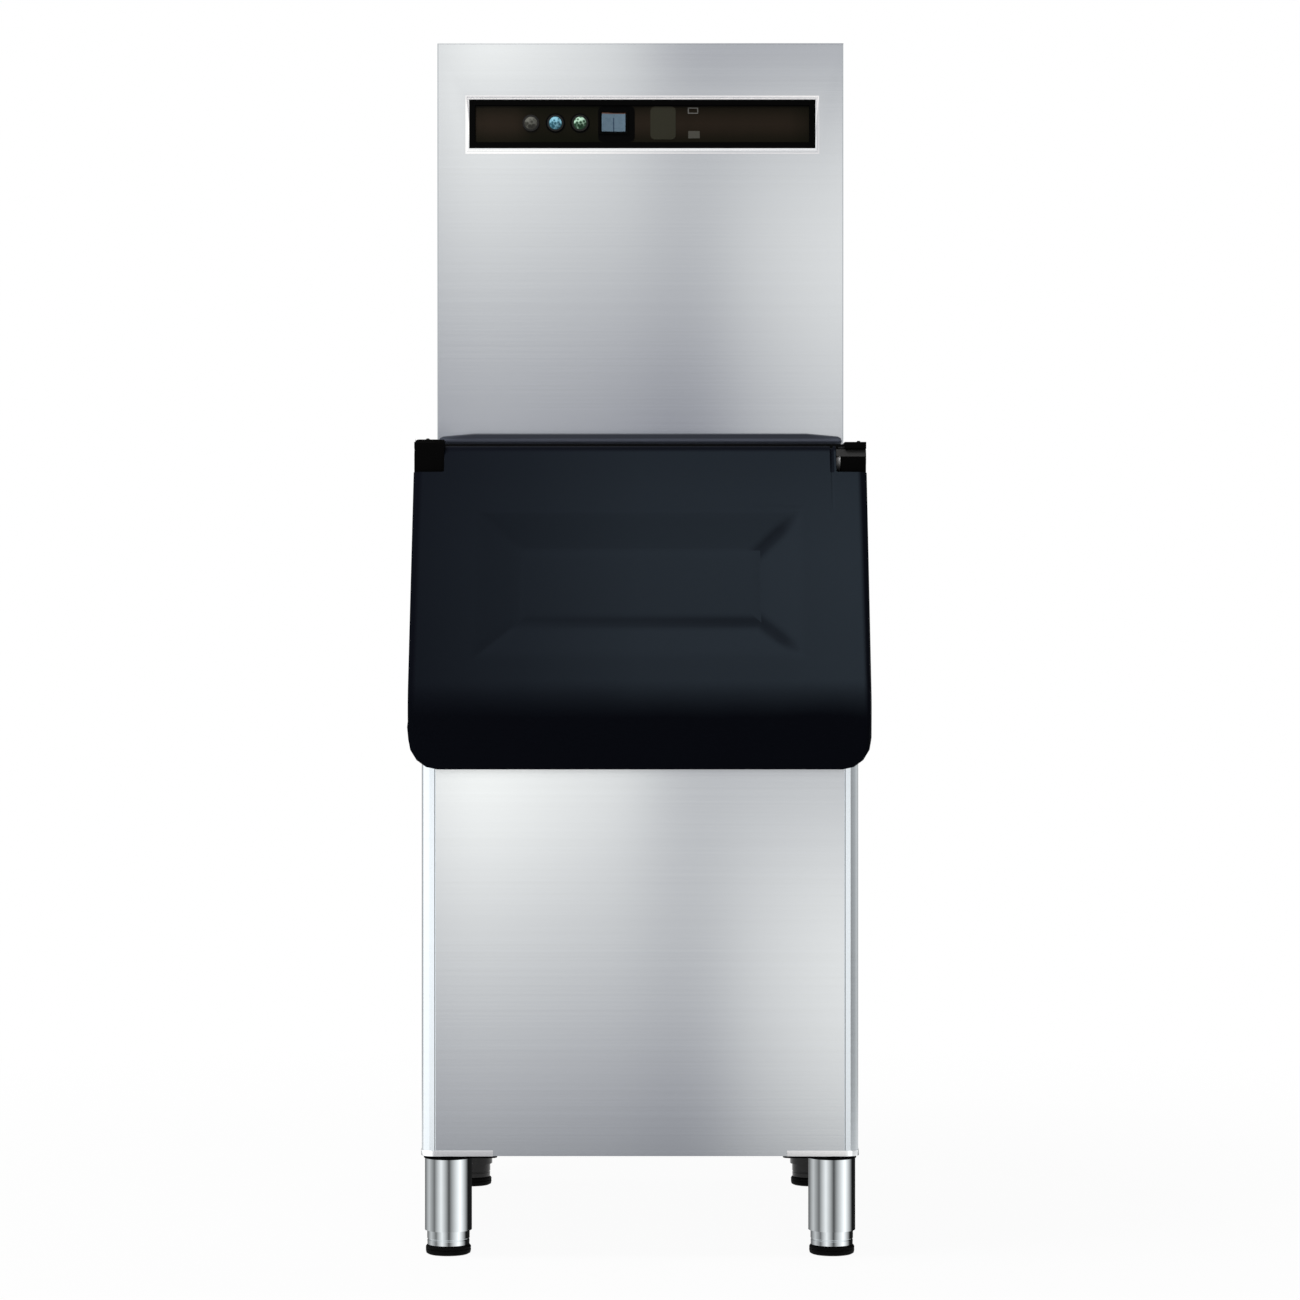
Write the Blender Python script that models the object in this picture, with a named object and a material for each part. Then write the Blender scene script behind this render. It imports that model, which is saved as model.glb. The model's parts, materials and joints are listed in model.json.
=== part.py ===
"""Commercial cube ice maker: an ice-making head standing on an insulated storage bin.

Metres, +Z up. The front faces -Y and the origin is on the floor, under the middle of the
whole machine. The bin's mouth is a slope; what lies on that slope is placed by how far up
it and how far out of it the piece lies.
"""

import math

import bmesh
import bpy
from mathutils import Vector

# Clearances and cutting
SEAT = 0.0003  # gap between two pieces that touch
RUNNING_GAP = 0.0005  # gap beside a piece that moves
OVERRUN = 0.02  # how far a cutter runs past what it cuts
ROUND_STEPS = 24
SMALL_STEPS = 16
CORNER_STEPS = 4
SMOOTH_ANGLE = math.radians(35)
FOLD_RADIUS = 0.0015  # outside a folded edge of sheet
FOLD_STEPS = 3

# Storage bin
BIN_DEPTH = 0.780
BIN_HEIGHT = 0.9595
BIN_CORNER_RADIUS = 0.018
BIN_SHEET = 0.0012
BIN_HEM = 0.012
BIN_BASE_SHEET = 0.002
FOAM_WALL = 0.036
FOAM_FLOOR = 0.045
LINER_WALL = 0.003
LINER_CORNER_RADIUS = 0.040
LINER_FLOOR_RADIUS = 0.030
SILL_HEIGHT = 0.616
MOUTH_ANGLE = math.radians(29)  # the mouth's lean back from the vertical
DECK_THICKNESS = 0.004
DECK_SIDE_RAIL = 0.0725
DECK_FRONT_RAIL = 0.040
DECK_BACK_RAIL = 0.070
DECK_CORNER_RADIUS = 0.020

# Trim round the mouth
TRIM_THICKNESS = 0.0035
TRIM_TOP_BAND = 0.030
TRIM_CORNER_RADIUS = 0.030
HEADER_HEIGHT = 0.0168
HEADER_END_HEIGHT = 0.0080
HEADER_TAPER = 0.050
HEADER_DEPTH = 0.026

# Lid
LID_WIDTH = 0.620
LID_OVERHANG = 0.0175  # beyond the bin, at each side
LID_PROUD = 0.050
LID_THICKNESS = 0.036
LID_WALL = 0.005
LID_NOSE_RADIUS = 0.090
LID_SKIRT = 0.098  # how far the lid hangs below the sill
LID_FLANGE_REACH = 0.020
LID_LIP_REACH = 0.016
LID_BIN_GAP = 0.004
LID_EDGE_RADIUS = 0.010
LID_CORNER_RADIUS = 0.042
LID_GRIP_MARGIN = 0.030  # from the lid's side to the grip slot's end
LID_NOTCH_LENGTH = 0.0317
LID_LINER_WALL = 0.003
HINGE_DROP = 0.036
LID_NOSE_STEPS = 6
RELIEF_SIDE_MARGIN = 0.0855
RELIEF_TOP_MARGIN = 0.049
RELIEF_FOOT_MARGIN = 0.038
RELIEF_BORDER_SHARE = 0.263  # of the relief's length, on each side
RELIEF_DEPTH = 0.010

# Lid hinges
KNUCKLE_RADIUS = 0.0165
KNUCKLE_OVERLAP = 0.020  # reach in front of the bin's side
PIN_RADIUS = 0.005
PIN_REACH = 0.018
PIN_CLEARANCE = 0.0004
BRACKET_CAP_FRONT = 0.0185
BRACKET_CAP_BACK = 0.024
BRACKET_CAP_TOP = 0.0227
BRACKET_CAP_THICKNESS = 0.0095
BRACKET_CAP_INSET = 0.008
BRACKET_PLATE = 0.007
BRACKET_PLATE_LENGTH = 0.075
BRACKET_PLATE_DROP = 0.033
BRACKET_PLATE_NECK = 0.032
BRACKET_EDGE = 0.0015

# Legs and levelling feet
LEG_HEIGHT = 0.139
LEG_INSET_X = 0.0335
LEG_INSET_Y = 0.060
LEG_TUBE_RADIUS = 0.03175
LEG_TUBE_WALL = 0.002
LEG_TUBE_BOTTOM = 0.0325
LEG_PLATE_LENGTH = 0.098
LEG_PLATE_THICKNESS = 0.004
LEG_PLATE_RADIUS = 0.008
NUT_PLATE = 0.004
FOOT_CLEARANCE = 0.0006
FOOT_TOP = 0.076
STEM_RADIUS = 0.008
STEM_TOP = 0.118
PAD_RADIUS = 0.0297
PAD_HEIGHT = 0.0115
PAD_BOTTOM_RADIUS = 0.0255
PAD_BAND = 0.0045
PAD_GROOVE = 0.0012

# Ice-making head
HEAD_INSET = 0.0095  # behind the bin's side, at each side
HEAD_DEPTH = 0.560
HEAD_HEIGHT = 0.562
HEAD_SHEET = 0.0012
HEAD_FRONT_RETURN = 0.020
HEAD_HEM = 0.012
PAN_SHEET = 0.0015
PAN_FLANGE = 0.022
CHUTE_LENGTH = 0.178
CHUTE_PARTITION_GAP = 0.010
CHUTE_LINER_GAP = 0.037
CHUTE_FRONT = 0.070
CHUTE_DROP = 0.012
CHUTE_RIM = 0.010

# Louvres and grille
LOUVRE_LENGTH = 0.180
LOUVRE_HEIGHT = 0.012
LOUVRE_PITCH = 0.024
LOUVRE_PROUD = 0.006
LOUVRE_WALL = 0.001
LOUVRE_UNDERCUT = 0.001
LOUVRE_ROWS = 10
LOUVRE_BOTTOM = 0.090
LOUVRE_BACK = 0.150
GRILLE_SIDE = 0.014
GRILLE_SLOT_HEIGHT = 0.007
GRILLE_PITCH = 0.018
GRILLE_ROWS = 13
GRILLE_BAR = 0.012

# Control panel
WINDOW_X = 0.0027
WINDOW_SIDE_MARGIN = 0.0365
WINDOW_HEIGHT = 0.078
WINDOW_DROP = 0.073  # from the head's top to the window's top edge
WINDOW_BEVEL = 0.005
WINDOW_BEVEL_DEPTH = 0.004
WINDOW_RETURN = 0.006
BEZEL_DEPTH = 0.012
BEZEL_FRAME = 0.008
BEZEL_LEDGE = 0.004
LENS_THICKNESS = 0.003
LENS_RECESS = 0.002
LAMP_EDGE_GAP = 0.0909  # from the window's end to the first lamp
LAMP_SPACING = 0.0343
LAMP_RADIUS = 0.0078
LAMP_RIM_RADIUS = 0.0118
LAMP_DOME_RADIUS = 0.0094
LAMP_RIM = 0.0014
LAMP_DOME = 0.0024
LAMP_SHOULDER_RADIUS_SHARE = 0.6
LAMP_SHOULDER_RISE_SHARE = 0.8
LAMP_BODY = 0.022
LAMP_RISE = 0.0015
ROCKER_LAMP_GAP = 0.0467  # from the last lamp to the rocker
ROCKER_RISE = 0.0025
ROCKER_WIDTH = 0.0330
ROCKER_HEIGHT = 0.0262
ROCKER_FACE = 0.0045
ROCKER_DISH = 0.0018
ROCKER_CHEEK = 0.0032
ROCKER_TILT = math.radians(6)
ROCKER_HUB_RADIUS = 0.0050
ROCKER_PIVOT_DEPTH = 0.0020
ROCKER_RIM = 0.0030
ROCKER_RIM_PROUD = 0.0016
ROCKER_WELL = 0.0095
ROCKER_WALL = 0.0016
ROCKER_BODY = 0.019
ROCKER_SIDE_GAP = 0.0012
BOARD_SIDE_MARGIN = 0.084
BOARD_HEIGHT = 0.0620
BOARD_THICKNESS = 0.0016
BOARD_POST_RADIUS = 0.0038
BOARD_POST_INSET = 0.010

# Machinery compartment
PARTITION_X = -0.002
PARTITION_SHEET = 0.0015
PARTITION_TOP_GAP = 0.012
PARTITION_FRONT_GAP = 0.050
CONDENSER_PARTITION_GAP = 0.0294
CONDENSER_HEIGHT = 0.300
CONDENSER_DEPTH = 0.050
CONDENSER_FINS = 22
CONDENSER_FIN = 0.002
CONDENSER_CORE = 0.010
CONDENSER_HEADER = 0.008
CONDENSER_BACK_GAP = 0.012
CONDENSER_SIDE_GAP = 0.010
SHROUD_SHEET = 0.0015
SHROUD_MARGIN = 0.018
SHROUD_RING = 0.018
SHROUD_RING_WALL = 0.0015
FAN_TIP_GAP = 0.006
FAN_HUB_RADIUS = 0.024
FAN_BLADES = 5
FAN_BLADE_SHEET = 0.002
FAN_BLADE_ROOT = 0.022
FAN_BLADE_TIP = 0.040
FAN_BLADE_PITCH = math.radians(24)
FAN_SHAFT_RADIUS = 0.004
FAN_SHAFT_REACH = 0.012
FAN_MOTOR_RADIUS = 0.036
FAN_MOTOR_LENGTH = 0.045
FAN_MOTOR_GAP = 0.003
FAN_ARM_WIDTH = 0.010
FAN_ARM_THICKNESS = 0.003
COMPRESSOR_PARTITION_GAP = 0.0545
COMPRESSOR_Y = 0.085
COMPRESSOR_RADIUS = 0.078
COMPRESSOR_HEIGHT = 0.205
COMPRESSOR_SEAM = 0.004
COMPRESSOR_SEAM_HEIGHT = 0.060
COMPRESSOR_DOME = 0.045
COMPRESSOR_BOTTOM_SHARE = 0.8
COMPRESSOR_FOOT = 0.010
COMPRESSOR_FOOT_RADIUS = 0.012
COMPRESSOR_PLATE_SIZE = 0.170
COMPRESSOR_PLATE = 0.004
COMPRESSOR_TERMINAL = 0.036
SUCTION_RADIUS = 0.0065
LIQUID_RADIUS = 0.004
LINE_CLEARANCE = 0.0008
LINE_STANDOFF = 0.032
DRIER_RADIUS = 0.014
DRIER_LENGTH = 0.090
DRIER_NECK_RADIUS = 0.006
DRIER_NECK = 0.012
DRIER_BACK = 0.110
ELECTRIC_BOX_WIDTH = 0.090
ELECTRIC_BOX_LENGTH = 0.110
ELECTRIC_BOX_HEIGHT = 0.150
ELECTRIC_BOX_BOTTOM = 0.250
ELECTRIC_BOX_EDGE = 0.003

# Ice-making compartment
EVAPORATOR_SIDE_GAP = 0.055
EVAPORATOR_HEIGHT = 0.270
EVAPORATOR_BOTTOM = 0.130
EVAPORATOR_FRONT = 0.300
EVAPORATOR_PLATE = 0.004
EVAPORATOR_FRAME = 0.012
CELL_DEPTH = 0.020
CELL_WALL = 0.0035
CELL_COLUMNS = 7
CELL_ROWS = 8
COIL_RUNS = 6
COIL_MARGIN = 0.020
CURTAIN_SHEET = 0.0025
CURTAIN_GAP = 0.008
CURTAIN_BOW = 0.010
CURTAIN_FOOT_GAP = 0.012
CURTAIN_BARREL_RADIUS = 0.005
CURTAIN_PIN_RADIUS = 0.003
EAR_THICKNESS = 0.004
EAR_RADIUS = 0.009
EAR_FOOT = 0.006
TROUGH_WALL = 0.003
TROUGH_HEIGHT = 0.095
TROUGH_FRONT = 0.018
TROUGH_LENGTH = 0.142
TROUGH_EDGE_GAP = 0.006
PUMP_RADIUS = 0.026
PUMP_VOLUTE = 0.024
PUMP_HEIGHT = 0.190
PUMP_NECK_RADIUS = 0.012
PUMP_MOTOR = 0.070
PUMP_GAP = 0.006
HOSE_RADIUS = 0.007
HOSE_STANDOFF = 0.022

# Connections on the back
FITTING_PROUD = 0.025
INLET_SIDE_GAP = 0.070
INLET_HEIGHT = 0.070
INLET_THREAD_RADIUS = 0.0132
INLET_BORE_RADIUS = 0.008
INLET_BORE_DEPTH = 0.022
INLET_BODY = 0.045
INLET_FLANGE_RADIUS = 0.019
INLET_FLANGE = 0.003
INLET_COIL_RADIUS = 0.015
INLET_COIL_HEIGHT = 0.036
GLAND_SIDE_GAP = 0.050
GLAND_HEIGHT = 0.400
GLAND_RADIUS = 0.010
GLAND_NUT_RADIUS = 0.015
GLAND_NUT = 0.007
GLAND_CAP = 0.012
GLAND_MOUTH_RADIUS = 0.0045
DRAIN_RADIUS = 0.013
DRAIN_BORE_RADIUS = 0.010
DRAIN_FLANGE_RADIUS = 0.022
DRAIN_FLANGE = 0.003
DRAIN_PROUD = 0.022

# Places worked out from the sizes
OVERALL_DEPTH = LID_PROUD + BIN_DEPTH + FITTING_PROUD
BACK_Y = OVERALL_DEPTH / 2 - FITTING_PROUD
FRONT_Y = BACK_Y - BIN_DEPTH
LID_FRONT_Y = FRONT_Y - LID_PROUD
HEAD_FRONT_Y = BACK_Y - HEAD_DEPTH
LID_HALF = LID_WIDTH / 2
BIN_HALF = LID_HALF - LID_OVERHANG
SEAM_X = BIN_HALF - BIN_CORNER_RADIUS
BIN_TOP_Z = LEG_HEIGHT + BIN_HEIGHT
DECK_BASE_Z = BIN_TOP_Z - DECK_THICKNESS
SILL_Z = LEG_HEIGHT + SILL_HEIGHT
MOUTH_RISE = math.cos(MOUTH_ANGLE)
MOUTH_RUN = math.sin(MOUTH_ANGLE)
MOUTH_LENGTH = (BIN_TOP_Z - SILL_Z) / MOUTH_RISE
MOUTH_TOP_Y = FRONT_Y + MOUTH_LENGTH * MOUTH_RUN
FOAM_HALF = BIN_HALF - BIN_SHEET - SEAT
FOAM_FRONT_Y = FRONT_Y + BIN_SHEET + SEAT
FOAM_BACK_Y = BACK_Y - BIN_SHEET - SEAT
FOAM_BASE_Z = LEG_HEIGHT + BIN_BASE_SHEET + SEAT
LINER_HALF = FOAM_HALF - FOAM_WALL
LINER_FRONT_Y = FOAM_FRONT_Y + FOAM_WALL
LINER_BACK_Y = FOAM_BACK_Y - FOAM_WALL
LINER_BASE_Z = FOAM_BASE_Z + FOAM_FLOOR
DRAIN_Z = LINER_BASE_Z + LINER_FLOOR_RADIUS + DRAIN_FLANGE_RADIUS

# Lid places, up the mouth's slope and out of it
LID_INNER_OUT = SEAT + TRIM_THICKNESS + RUNNING_GAP
LID_OUTER_OUT = LID_INNER_OUT + LID_THICKNESS
BARREL_RADIUS = LID_THICKNESS / 2
AXIS_OUT = LID_INNER_OUT + BARREL_RADIUS
AXIS_UP = MOUTH_LENGTH - HINGE_DROP
NOTCH_UP = AXIS_UP - LID_NOTCH_LENGTH
HOLLOW_UP = NOTCH_UP - LID_WALL
NOSE_OUT = LID_OUTER_OUT - LID_NOSE_RADIUS
NOSE_UP = (LID_NOSE_RADIUS - LID_PROUD + NOSE_OUT * MOUTH_RISE) / MOUTH_RUN
LID_BOTTOM_Z = SILL_Z - LID_SKIRT
RELIEF_TOP = HOLLOW_UP - RELIEF_TOP_MARGIN
RELIEF_FOOT = NOSE_UP + RELIEF_FOOT_MARGIN
RELIEF_HALF = LID_HALF - RELIEF_SIDE_MARGIN
RELIEF_BORDER = RELIEF_BORDER_SHARE * (RELIEF_TOP - RELIEF_FOOT)
SKIRT_BACK_Y = FRONT_Y + LID_FLANGE_REACH
KNUCKLE_X = BIN_HALF - KNUCKLE_OVERLAP
BARREL_HALF = KNUCKLE_X - RUNNING_GAP

# Head places
HEAD_HALF = BIN_HALF - HEAD_INSET
HEADER_HALF = KNUCKLE_X + BRACKET_CAP_INSET - RUNNING_GAP
HEAD_BASE_Z = BIN_TOP_Z + SEAT
HEAD_TOP_Z = HEAD_BASE_Z + HEAD_HEIGHT
PAN_TOP_Z = HEAD_BASE_Z + PAN_SHEET
HEAD_WALL_BASE_Z = PAN_TOP_Z + SEAT
HEAD_WALL_TOP_Z = HEAD_TOP_Z - HEAD_SHEET - SEAT
TRAY_HALF = HEAD_HALF - HEAD_SHEET - SEAT
TRAY_FRONT_Y = HEAD_FRONT_Y + HEAD_SHEET + SEAT
TRAY_BACK_Y = BACK_Y - HEAD_SHEET - SEAT
CHUTE_LEFT_X = PARTITION_X + PARTITION_SHEET / 2 + CHUTE_PARTITION_GAP
CHUTE_RIGHT_X = LINER_HALF - LINER_WALL - CHUTE_LINER_GAP
CHUTE_FRONT_Y = HEAD_FRONT_Y + CHUTE_FRONT
CHUTE_BACK_Y = CHUTE_FRONT_Y + CHUTE_LENGTH
WINDOW_HALF = HEAD_HALF - WINDOW_SIDE_MARGIN
WINDOW_Z = HEAD_TOP_Z - WINDOW_DROP - WINDOW_HEIGHT / 2
BEZEL_HALF_WIDTH = WINDOW_HALF - WINDOW_BEVEL - SEAT
BEZEL_HALF_HEIGHT = WINDOW_HEIGHT / 2 - WINDOW_BEVEL - SEAT
BEZEL_FRONT_Y = HEAD_FRONT_Y + WINDOW_BEVEL_DEPTH
BEZEL_BACK_Y = BEZEL_FRONT_Y + BEZEL_DEPTH
LENS_FRONT_Y = BEZEL_FRONT_Y + LENS_RECESS
LENS_BACK_Y = LENS_FRONT_Y + LENS_THICKNESS
LAMP_LEFT_X = WINDOW_X - WINDOW_HALF + LAMP_EDGE_GAP
LAMP_Z = WINDOW_Z + LAMP_RISE
BOARD_Y = LENS_FRONT_Y + LAMP_BODY + SEAT
ROCKER_X = LAMP_LEFT_X + 2 * LAMP_SPACING + ROCKER_LAMP_GAP
ROCKER_Y = LENS_FRONT_Y + ROCKER_PIVOT_DEPTH
ROCKER_Z = WINDOW_Z + ROCKER_RISE
BOARD_HALF = WINDOW_HALF - BOARD_SIDE_MARGIN
ROCKER_WELL_HALF_WIDTH = ROCKER_WIDTH / 2 + ROCKER_SIDE_GAP
ROCKER_WELL_HALF_HEIGHT = ROCKER_HEIGHT / 2 + RUNNING_GAP

# Machinery places
PARTITION_LEFT_X = PARTITION_X - PARTITION_SHEET / 2
PARTITION_RIGHT_X = PARTITION_X + PARTITION_SHEET / 2
PARTITION_FRONT_Y = HEAD_FRONT_Y + PARTITION_FRONT_GAP
PARTITION_BACK_Y = TRAY_BACK_Y - PAN_SHEET - SEAT
CONDENSER_LEFT_X = SEAT + CONDENSER_SIDE_GAP - TRAY_HALF
CONDENSER_RIGHT_X = PARTITION_LEFT_X - CONDENSER_PARTITION_GAP
CONDENSER_WIDTH = CONDENSER_RIGHT_X - CONDENSER_LEFT_X
GRILLE_SLOT_LENGTH = (CONDENSER_WIDTH - GRILLE_BAR) / 2 - GRILLE_SIDE
SHROUD_HOLE_RADIUS = CONDENSER_WIDTH / 2 - SHROUD_MARGIN
CONDENSER_BACK_Y = TRAY_BACK_Y - CONDENSER_BACK_GAP
CONDENSER_FRONT_Y = CONDENSER_BACK_Y - CONDENSER_DEPTH
CONDENSER_Y = (CONDENSER_FRONT_Y + CONDENSER_BACK_Y) / 2
CONDENSER_TOP_Z = HEAD_WALL_BASE_Z + CONDENSER_HEIGHT
SHROUD_FRONT_Y = CONDENSER_FRONT_Y - SEAT - SHROUD_SHEET
RING_FRONT_Y = SHROUD_FRONT_Y - SHROUD_RING
FAN_X = CONDENSER_LEFT_X + CONDENSER_WIDTH / 2
FAN_Y = SHROUD_FRONT_Y - SHROUD_RING / 2
FAN_Z = HEAD_WALL_BASE_Z + CONDENSER_HEIGHT / 2
MOTOR_FACE_Y = RING_FRONT_Y - FAN_MOTOR_GAP
COMPRESSOR_X = PARTITION_LEFT_X - COMPRESSOR_PARTITION_GAP - COMPRESSOR_RADIUS
COMPRESSOR_SHELL_Z = HEAD_WALL_BASE_Z + COMPRESSOR_FOOT

# Ice-making places
EVAPORATOR_LEFT_X = PARTITION_RIGHT_X + SEAT
EVAPORATOR_RIGHT_X = HEAD_HALF - EVAPORATOR_SIDE_GAP
EVAPORATOR_WIDTH = EVAPORATOR_RIGHT_X - EVAPORATOR_LEFT_X
EVAPORATOR_Y = HEAD_FRONT_Y + EVAPORATOR_FRONT
EVAPORATOR_BASE_Z = HEAD_BASE_Z + EVAPORATOR_BOTTOM
EVAPORATOR_TOP_Z = EVAPORATOR_BASE_Z + EVAPORATOR_HEIGHT
CELL_FRONT_Y = EVAPORATOR_Y - CELL_DEPTH
COIL_Y = EVAPORATOR_Y + EVAPORATOR_PLATE + SEAT + LIQUID_RADIUS
COIL_LOW_Z = EVAPORATOR_BASE_Z + COIL_MARGIN
COIL_HIGH_Z = EVAPORATOR_TOP_Z - COIL_MARGIN
COIL_LEFT_X = EVAPORATOR_LEFT_X + SEAT
CURTAIN_Y = CELL_FRONT_Y - CURTAIN_GAP
CURTAIN_Z = EVAPORATOR_TOP_Z + EAR_RADIUS
TROUGH_FRONT_Y = CELL_FRONT_Y - TROUGH_FRONT
TROUGH_BACK_Y = TROUGH_FRONT_Y + TROUGH_LENGTH
TROUGH_TOP_Z = HEAD_WALL_BASE_Z + TROUGH_HEIGHT
TROUGH_RIGHT_X = TRAY_HALF - PAN_SHEET - TROUGH_EDGE_GAP
PUMP_X = TROUGH_RIGHT_X - TROUGH_WALL - PUMP_GAP - PUMP_RADIUS
PUMP_Y = TROUGH_BACK_Y - TROUGH_WALL - PUMP_GAP - PUMP_RADIUS
PUMP_BASE_Z = HEAD_WALL_BASE_Z + TROUGH_WALL + SEAT
DRIER_X = PARTITION_LEFT_X - SEAT - DRIER_RADIUS
DRIER_BACK_Y = CONDENSER_Y - DRIER_BACK + DRIER_LENGTH / 2
DRIER_FRONT_Y = DRIER_BACK_Y - DRIER_LENGTH

# Places on the back
INLET_X = HEAD_HALF - INLET_SIDE_GAP
GLAND_X = GLAND_SIDE_GAP - HEAD_HALF

# Finishes: colour, roughness and metallic value
FINISHES = {
    "stainless": ((0.62, 0.63, 0.65), 0.32, 1.0),
    "chrome": ((0.80, 0.81, 0.82), 0.12, 1.0),
    "galvanised": ((0.50, 0.52, 0.54), 0.45, 1.0),
    "black_moulding": ((0.018, 0.022, 0.028), 0.38, 0.0),
    "black_rubber": ((0.012, 0.012, 0.012), 0.75, 0.0),
    "black_enamel": ((0.010, 0.010, 0.011), 0.42, 0.0),
    "white_liner": ((0.82, 0.84, 0.86), 0.45, 0.0),
    "insulating_foam": ((0.78, 0.68, 0.42), 0.9, 0.0),
    "smoked_lens": ((0.020, 0.018, 0.014), 0.15, 0.0),
    "copper": ((0.72, 0.38, 0.22), 0.3, 1.0),
    "fin_aluminium": ((0.70, 0.71, 0.72), 0.4, 1.0),
    "blue_lens": ((0.20, 0.50, 0.72), 0.25, 0.0),
    "green_lens": ((0.10, 0.38, 0.20), 0.25, 0.0),
    "grey_lens": ((0.22, 0.22, 0.20), 0.3, 0.0),
    "pale_blue_key": ((0.33, 0.47, 0.66), 0.3, 0.0),
    "grey_moulding": ((0.45, 0.47, 0.49), 0.5, 0.0),
    "green_board": ((0.03, 0.16, 0.07), 0.5, 0.0),
    "brass": ((0.70, 0.55, 0.30), 0.3, 1.0),
}


def finish(name):
    found = bpy.data.materials.get(name)
    if found:
        return found
    colour, roughness, metallic = FINISHES[name]
    made = bpy.data.materials.new(name)
    made.use_nodes = True
    shader = made.node_tree.nodes["Principled BSDF"]
    shader.inputs["Base Color"].default_value = (*colour, 1.0)
    shader.inputs["Roughness"].default_value = roughness
    shader.inputs["Metallic"].default_value = metallic
    made.diffuse_color = (*colour, 1.0)
    return made


# Outlines, as lists of (first, second) points
def rectangle(low, high):
    return [low, (high[0], low[1]), high, (low[0], high[1])]


def arc(centre, radius, start, end, steps):
    """Points from one angle to another, both ends included."""
    angles = [start + (end - start) * i / steps for i in range(steps + 1)]
    return [(centre[0] + radius * math.cos(a), centre[1] + radius * math.sin(a)) for a in angles]


def rounded_rectangle(low, high, radius, steps=CORNER_STEPS):
    quarter = math.pi / 2
    centres = [
        (high[0] - radius, low[1] + radius),
        (high[0] - radius, high[1] - radius),
        (low[0] + radius, high[1] - radius),
        (low[0] + radius, low[1] + radius),
    ]
    points = []
    for turn, centre in enumerate(centres):
        points += arc(centre, radius, (turn - 1) * quarter, turn * quarter, steps)
    return points


def channel(half, front, depth, sheet):
    """The plan of a sheet across a front, with both ends folded back."""
    centre = (half - FOLD_RADIUS, front + FOLD_RADIUS)
    quarter = math.pi / 2
    right = arc(centre, FOLD_RADIUS, -quarter, 0, FOLD_STEPS)
    right += [(half, front + depth), (half - sheet, front + depth)]
    right += arc(centre, FOLD_RADIUS - sheet, 0, -quarter, FOLD_STEPS)
    return right + mirrored(right[::-1], -1)


def mirrored(points, side):
    """The outline on the right, or its mirror image on the left."""
    return [(side * x, y) for x, y in points]


# Solids in a bmesh
def spot(axis, first, second, along):
    """A point from its two plane coordinates and the one along the axis."""
    if axis == "X":
        return Vector((along, first, second))
    if axis == "Y":
        return Vector((first, along, second))
    return Vector((first, second, along))


def add_prism(bm, outline, axis, low, high):
    """Extrudes a closed outline along an axis, and gives back the rims at both ends."""
    near = [bm.verts.new(spot(axis, first, second, low)) for first, second in outline]
    far = [bm.verts.new(spot(axis, first, second, high)) for first, second in outline]
    bm.faces.new(near)
    bm.faces.new(far)
    for i in range(len(outline)):
        after = (i + 1) % len(outline)
        bm.faces.new((near[i], near[after], far[after], far[i]))
    return near, far


def add_box(bm, low, high):
    add_prism(bm, rectangle(low[:2], high[:2]), "Z", low[2], high[2])


def add_lathe(bm, profile, axis, centre, steps=ROUND_STEPS):
    """Turns a profile of (radius, along) points about an axis through the centre.

    A profile that starts and ends on the axis is solid, and any other is a closed ring.
    """
    rings = []
    for radius, along in profile:
        if radius == 0:
            rings.append([bm.verts.new(Vector(centre) + spot(axis, 0, 0, along))])
            continue
        points = arc((0, 0), radius, 0, math.tau, steps)[:-1]
        rings.append([bm.verts.new(Vector(centre) + spot(axis, *point, along)) for point in points])
    pairs = list(zip(rings, rings[1:]))
    if profile[0][0] > 0:
        pairs.append((rings[-1], rings[0]))
    for near, far in pairs:
        for i in range(steps):
            after = (i + 1) % steps
            corners = [near[i % len(near)], near[after % len(near)]]
            corners += [far[after % len(far)], far[i % len(far)]]
            bm.faces.new(list(dict.fromkeys(corners)))


def add_cylinder(bm, axis, centre, radius, low, high, steps=ROUND_STEPS):
    add_lathe(bm, [(0, low), (radius, low), (radius, high), (0, high)], axis, centre, steps)


def add_loft(bm, sections):
    """Skins a row of matching closed sections, and caps both ends."""
    rings = [[bm.verts.new(point) for point in section] for section in sections]
    for near, far in zip(rings, rings[1:]):
        for i in range(len(near)):
            after = (i + 1) % len(near)
            bm.faces.new((near[i], near[after], far[after], far[i]))
    bm.faces.new(rings[0])
    bm.faces.new(rings[-1])


def bevel_rim(bm, rim, radius, steps):
    """Rounds the edges that join one vertex of a rim to the next."""
    edges = [bm.edges.get(pair) for pair in zip(rim, rim[1:])]
    edges = [edge for edge in edges if edge]
    bmesh.ops.bevel(bm, geom=edges, offset=radius, segments=steps, profile=0.5, affect="EDGES")


# Objects
def place(name, data, look):
    obj = bpy.data.objects.new(name, data)
    bpy.context.scene.collection.objects.link(obj)
    data.materials.append(finish(look))
    return obj


def solid(name, bm, look, smooth=False):
    """Turns the bmesh into a named object, with its faces pointing out."""
    bmesh.ops.recalc_face_normals(bm, faces=bm.faces)
    mesh = bpy.data.meshes.new(name)
    bm.to_mesh(mesh)
    bm.free()
    if smooth:
        mesh.shade_smooth()
        mesh.set_sharp_from_angle(angle=SMOOTH_ANGLE)
    return place(name, mesh, look)


def guide(name, bm):
    """A hidden shape that cuts or joins another."""
    obj = solid(name, bm, "black_rubber")
    obj.hide_render = True
    obj.display_type = "WIRE"
    return obj


def combine(obj, operation, other):
    modifier = obj.modifiers.new(operation.lower(), "BOOLEAN")
    modifier.solver = "EXACT"
    modifier.operation = operation
    modifier.object = other
    return obj


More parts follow.
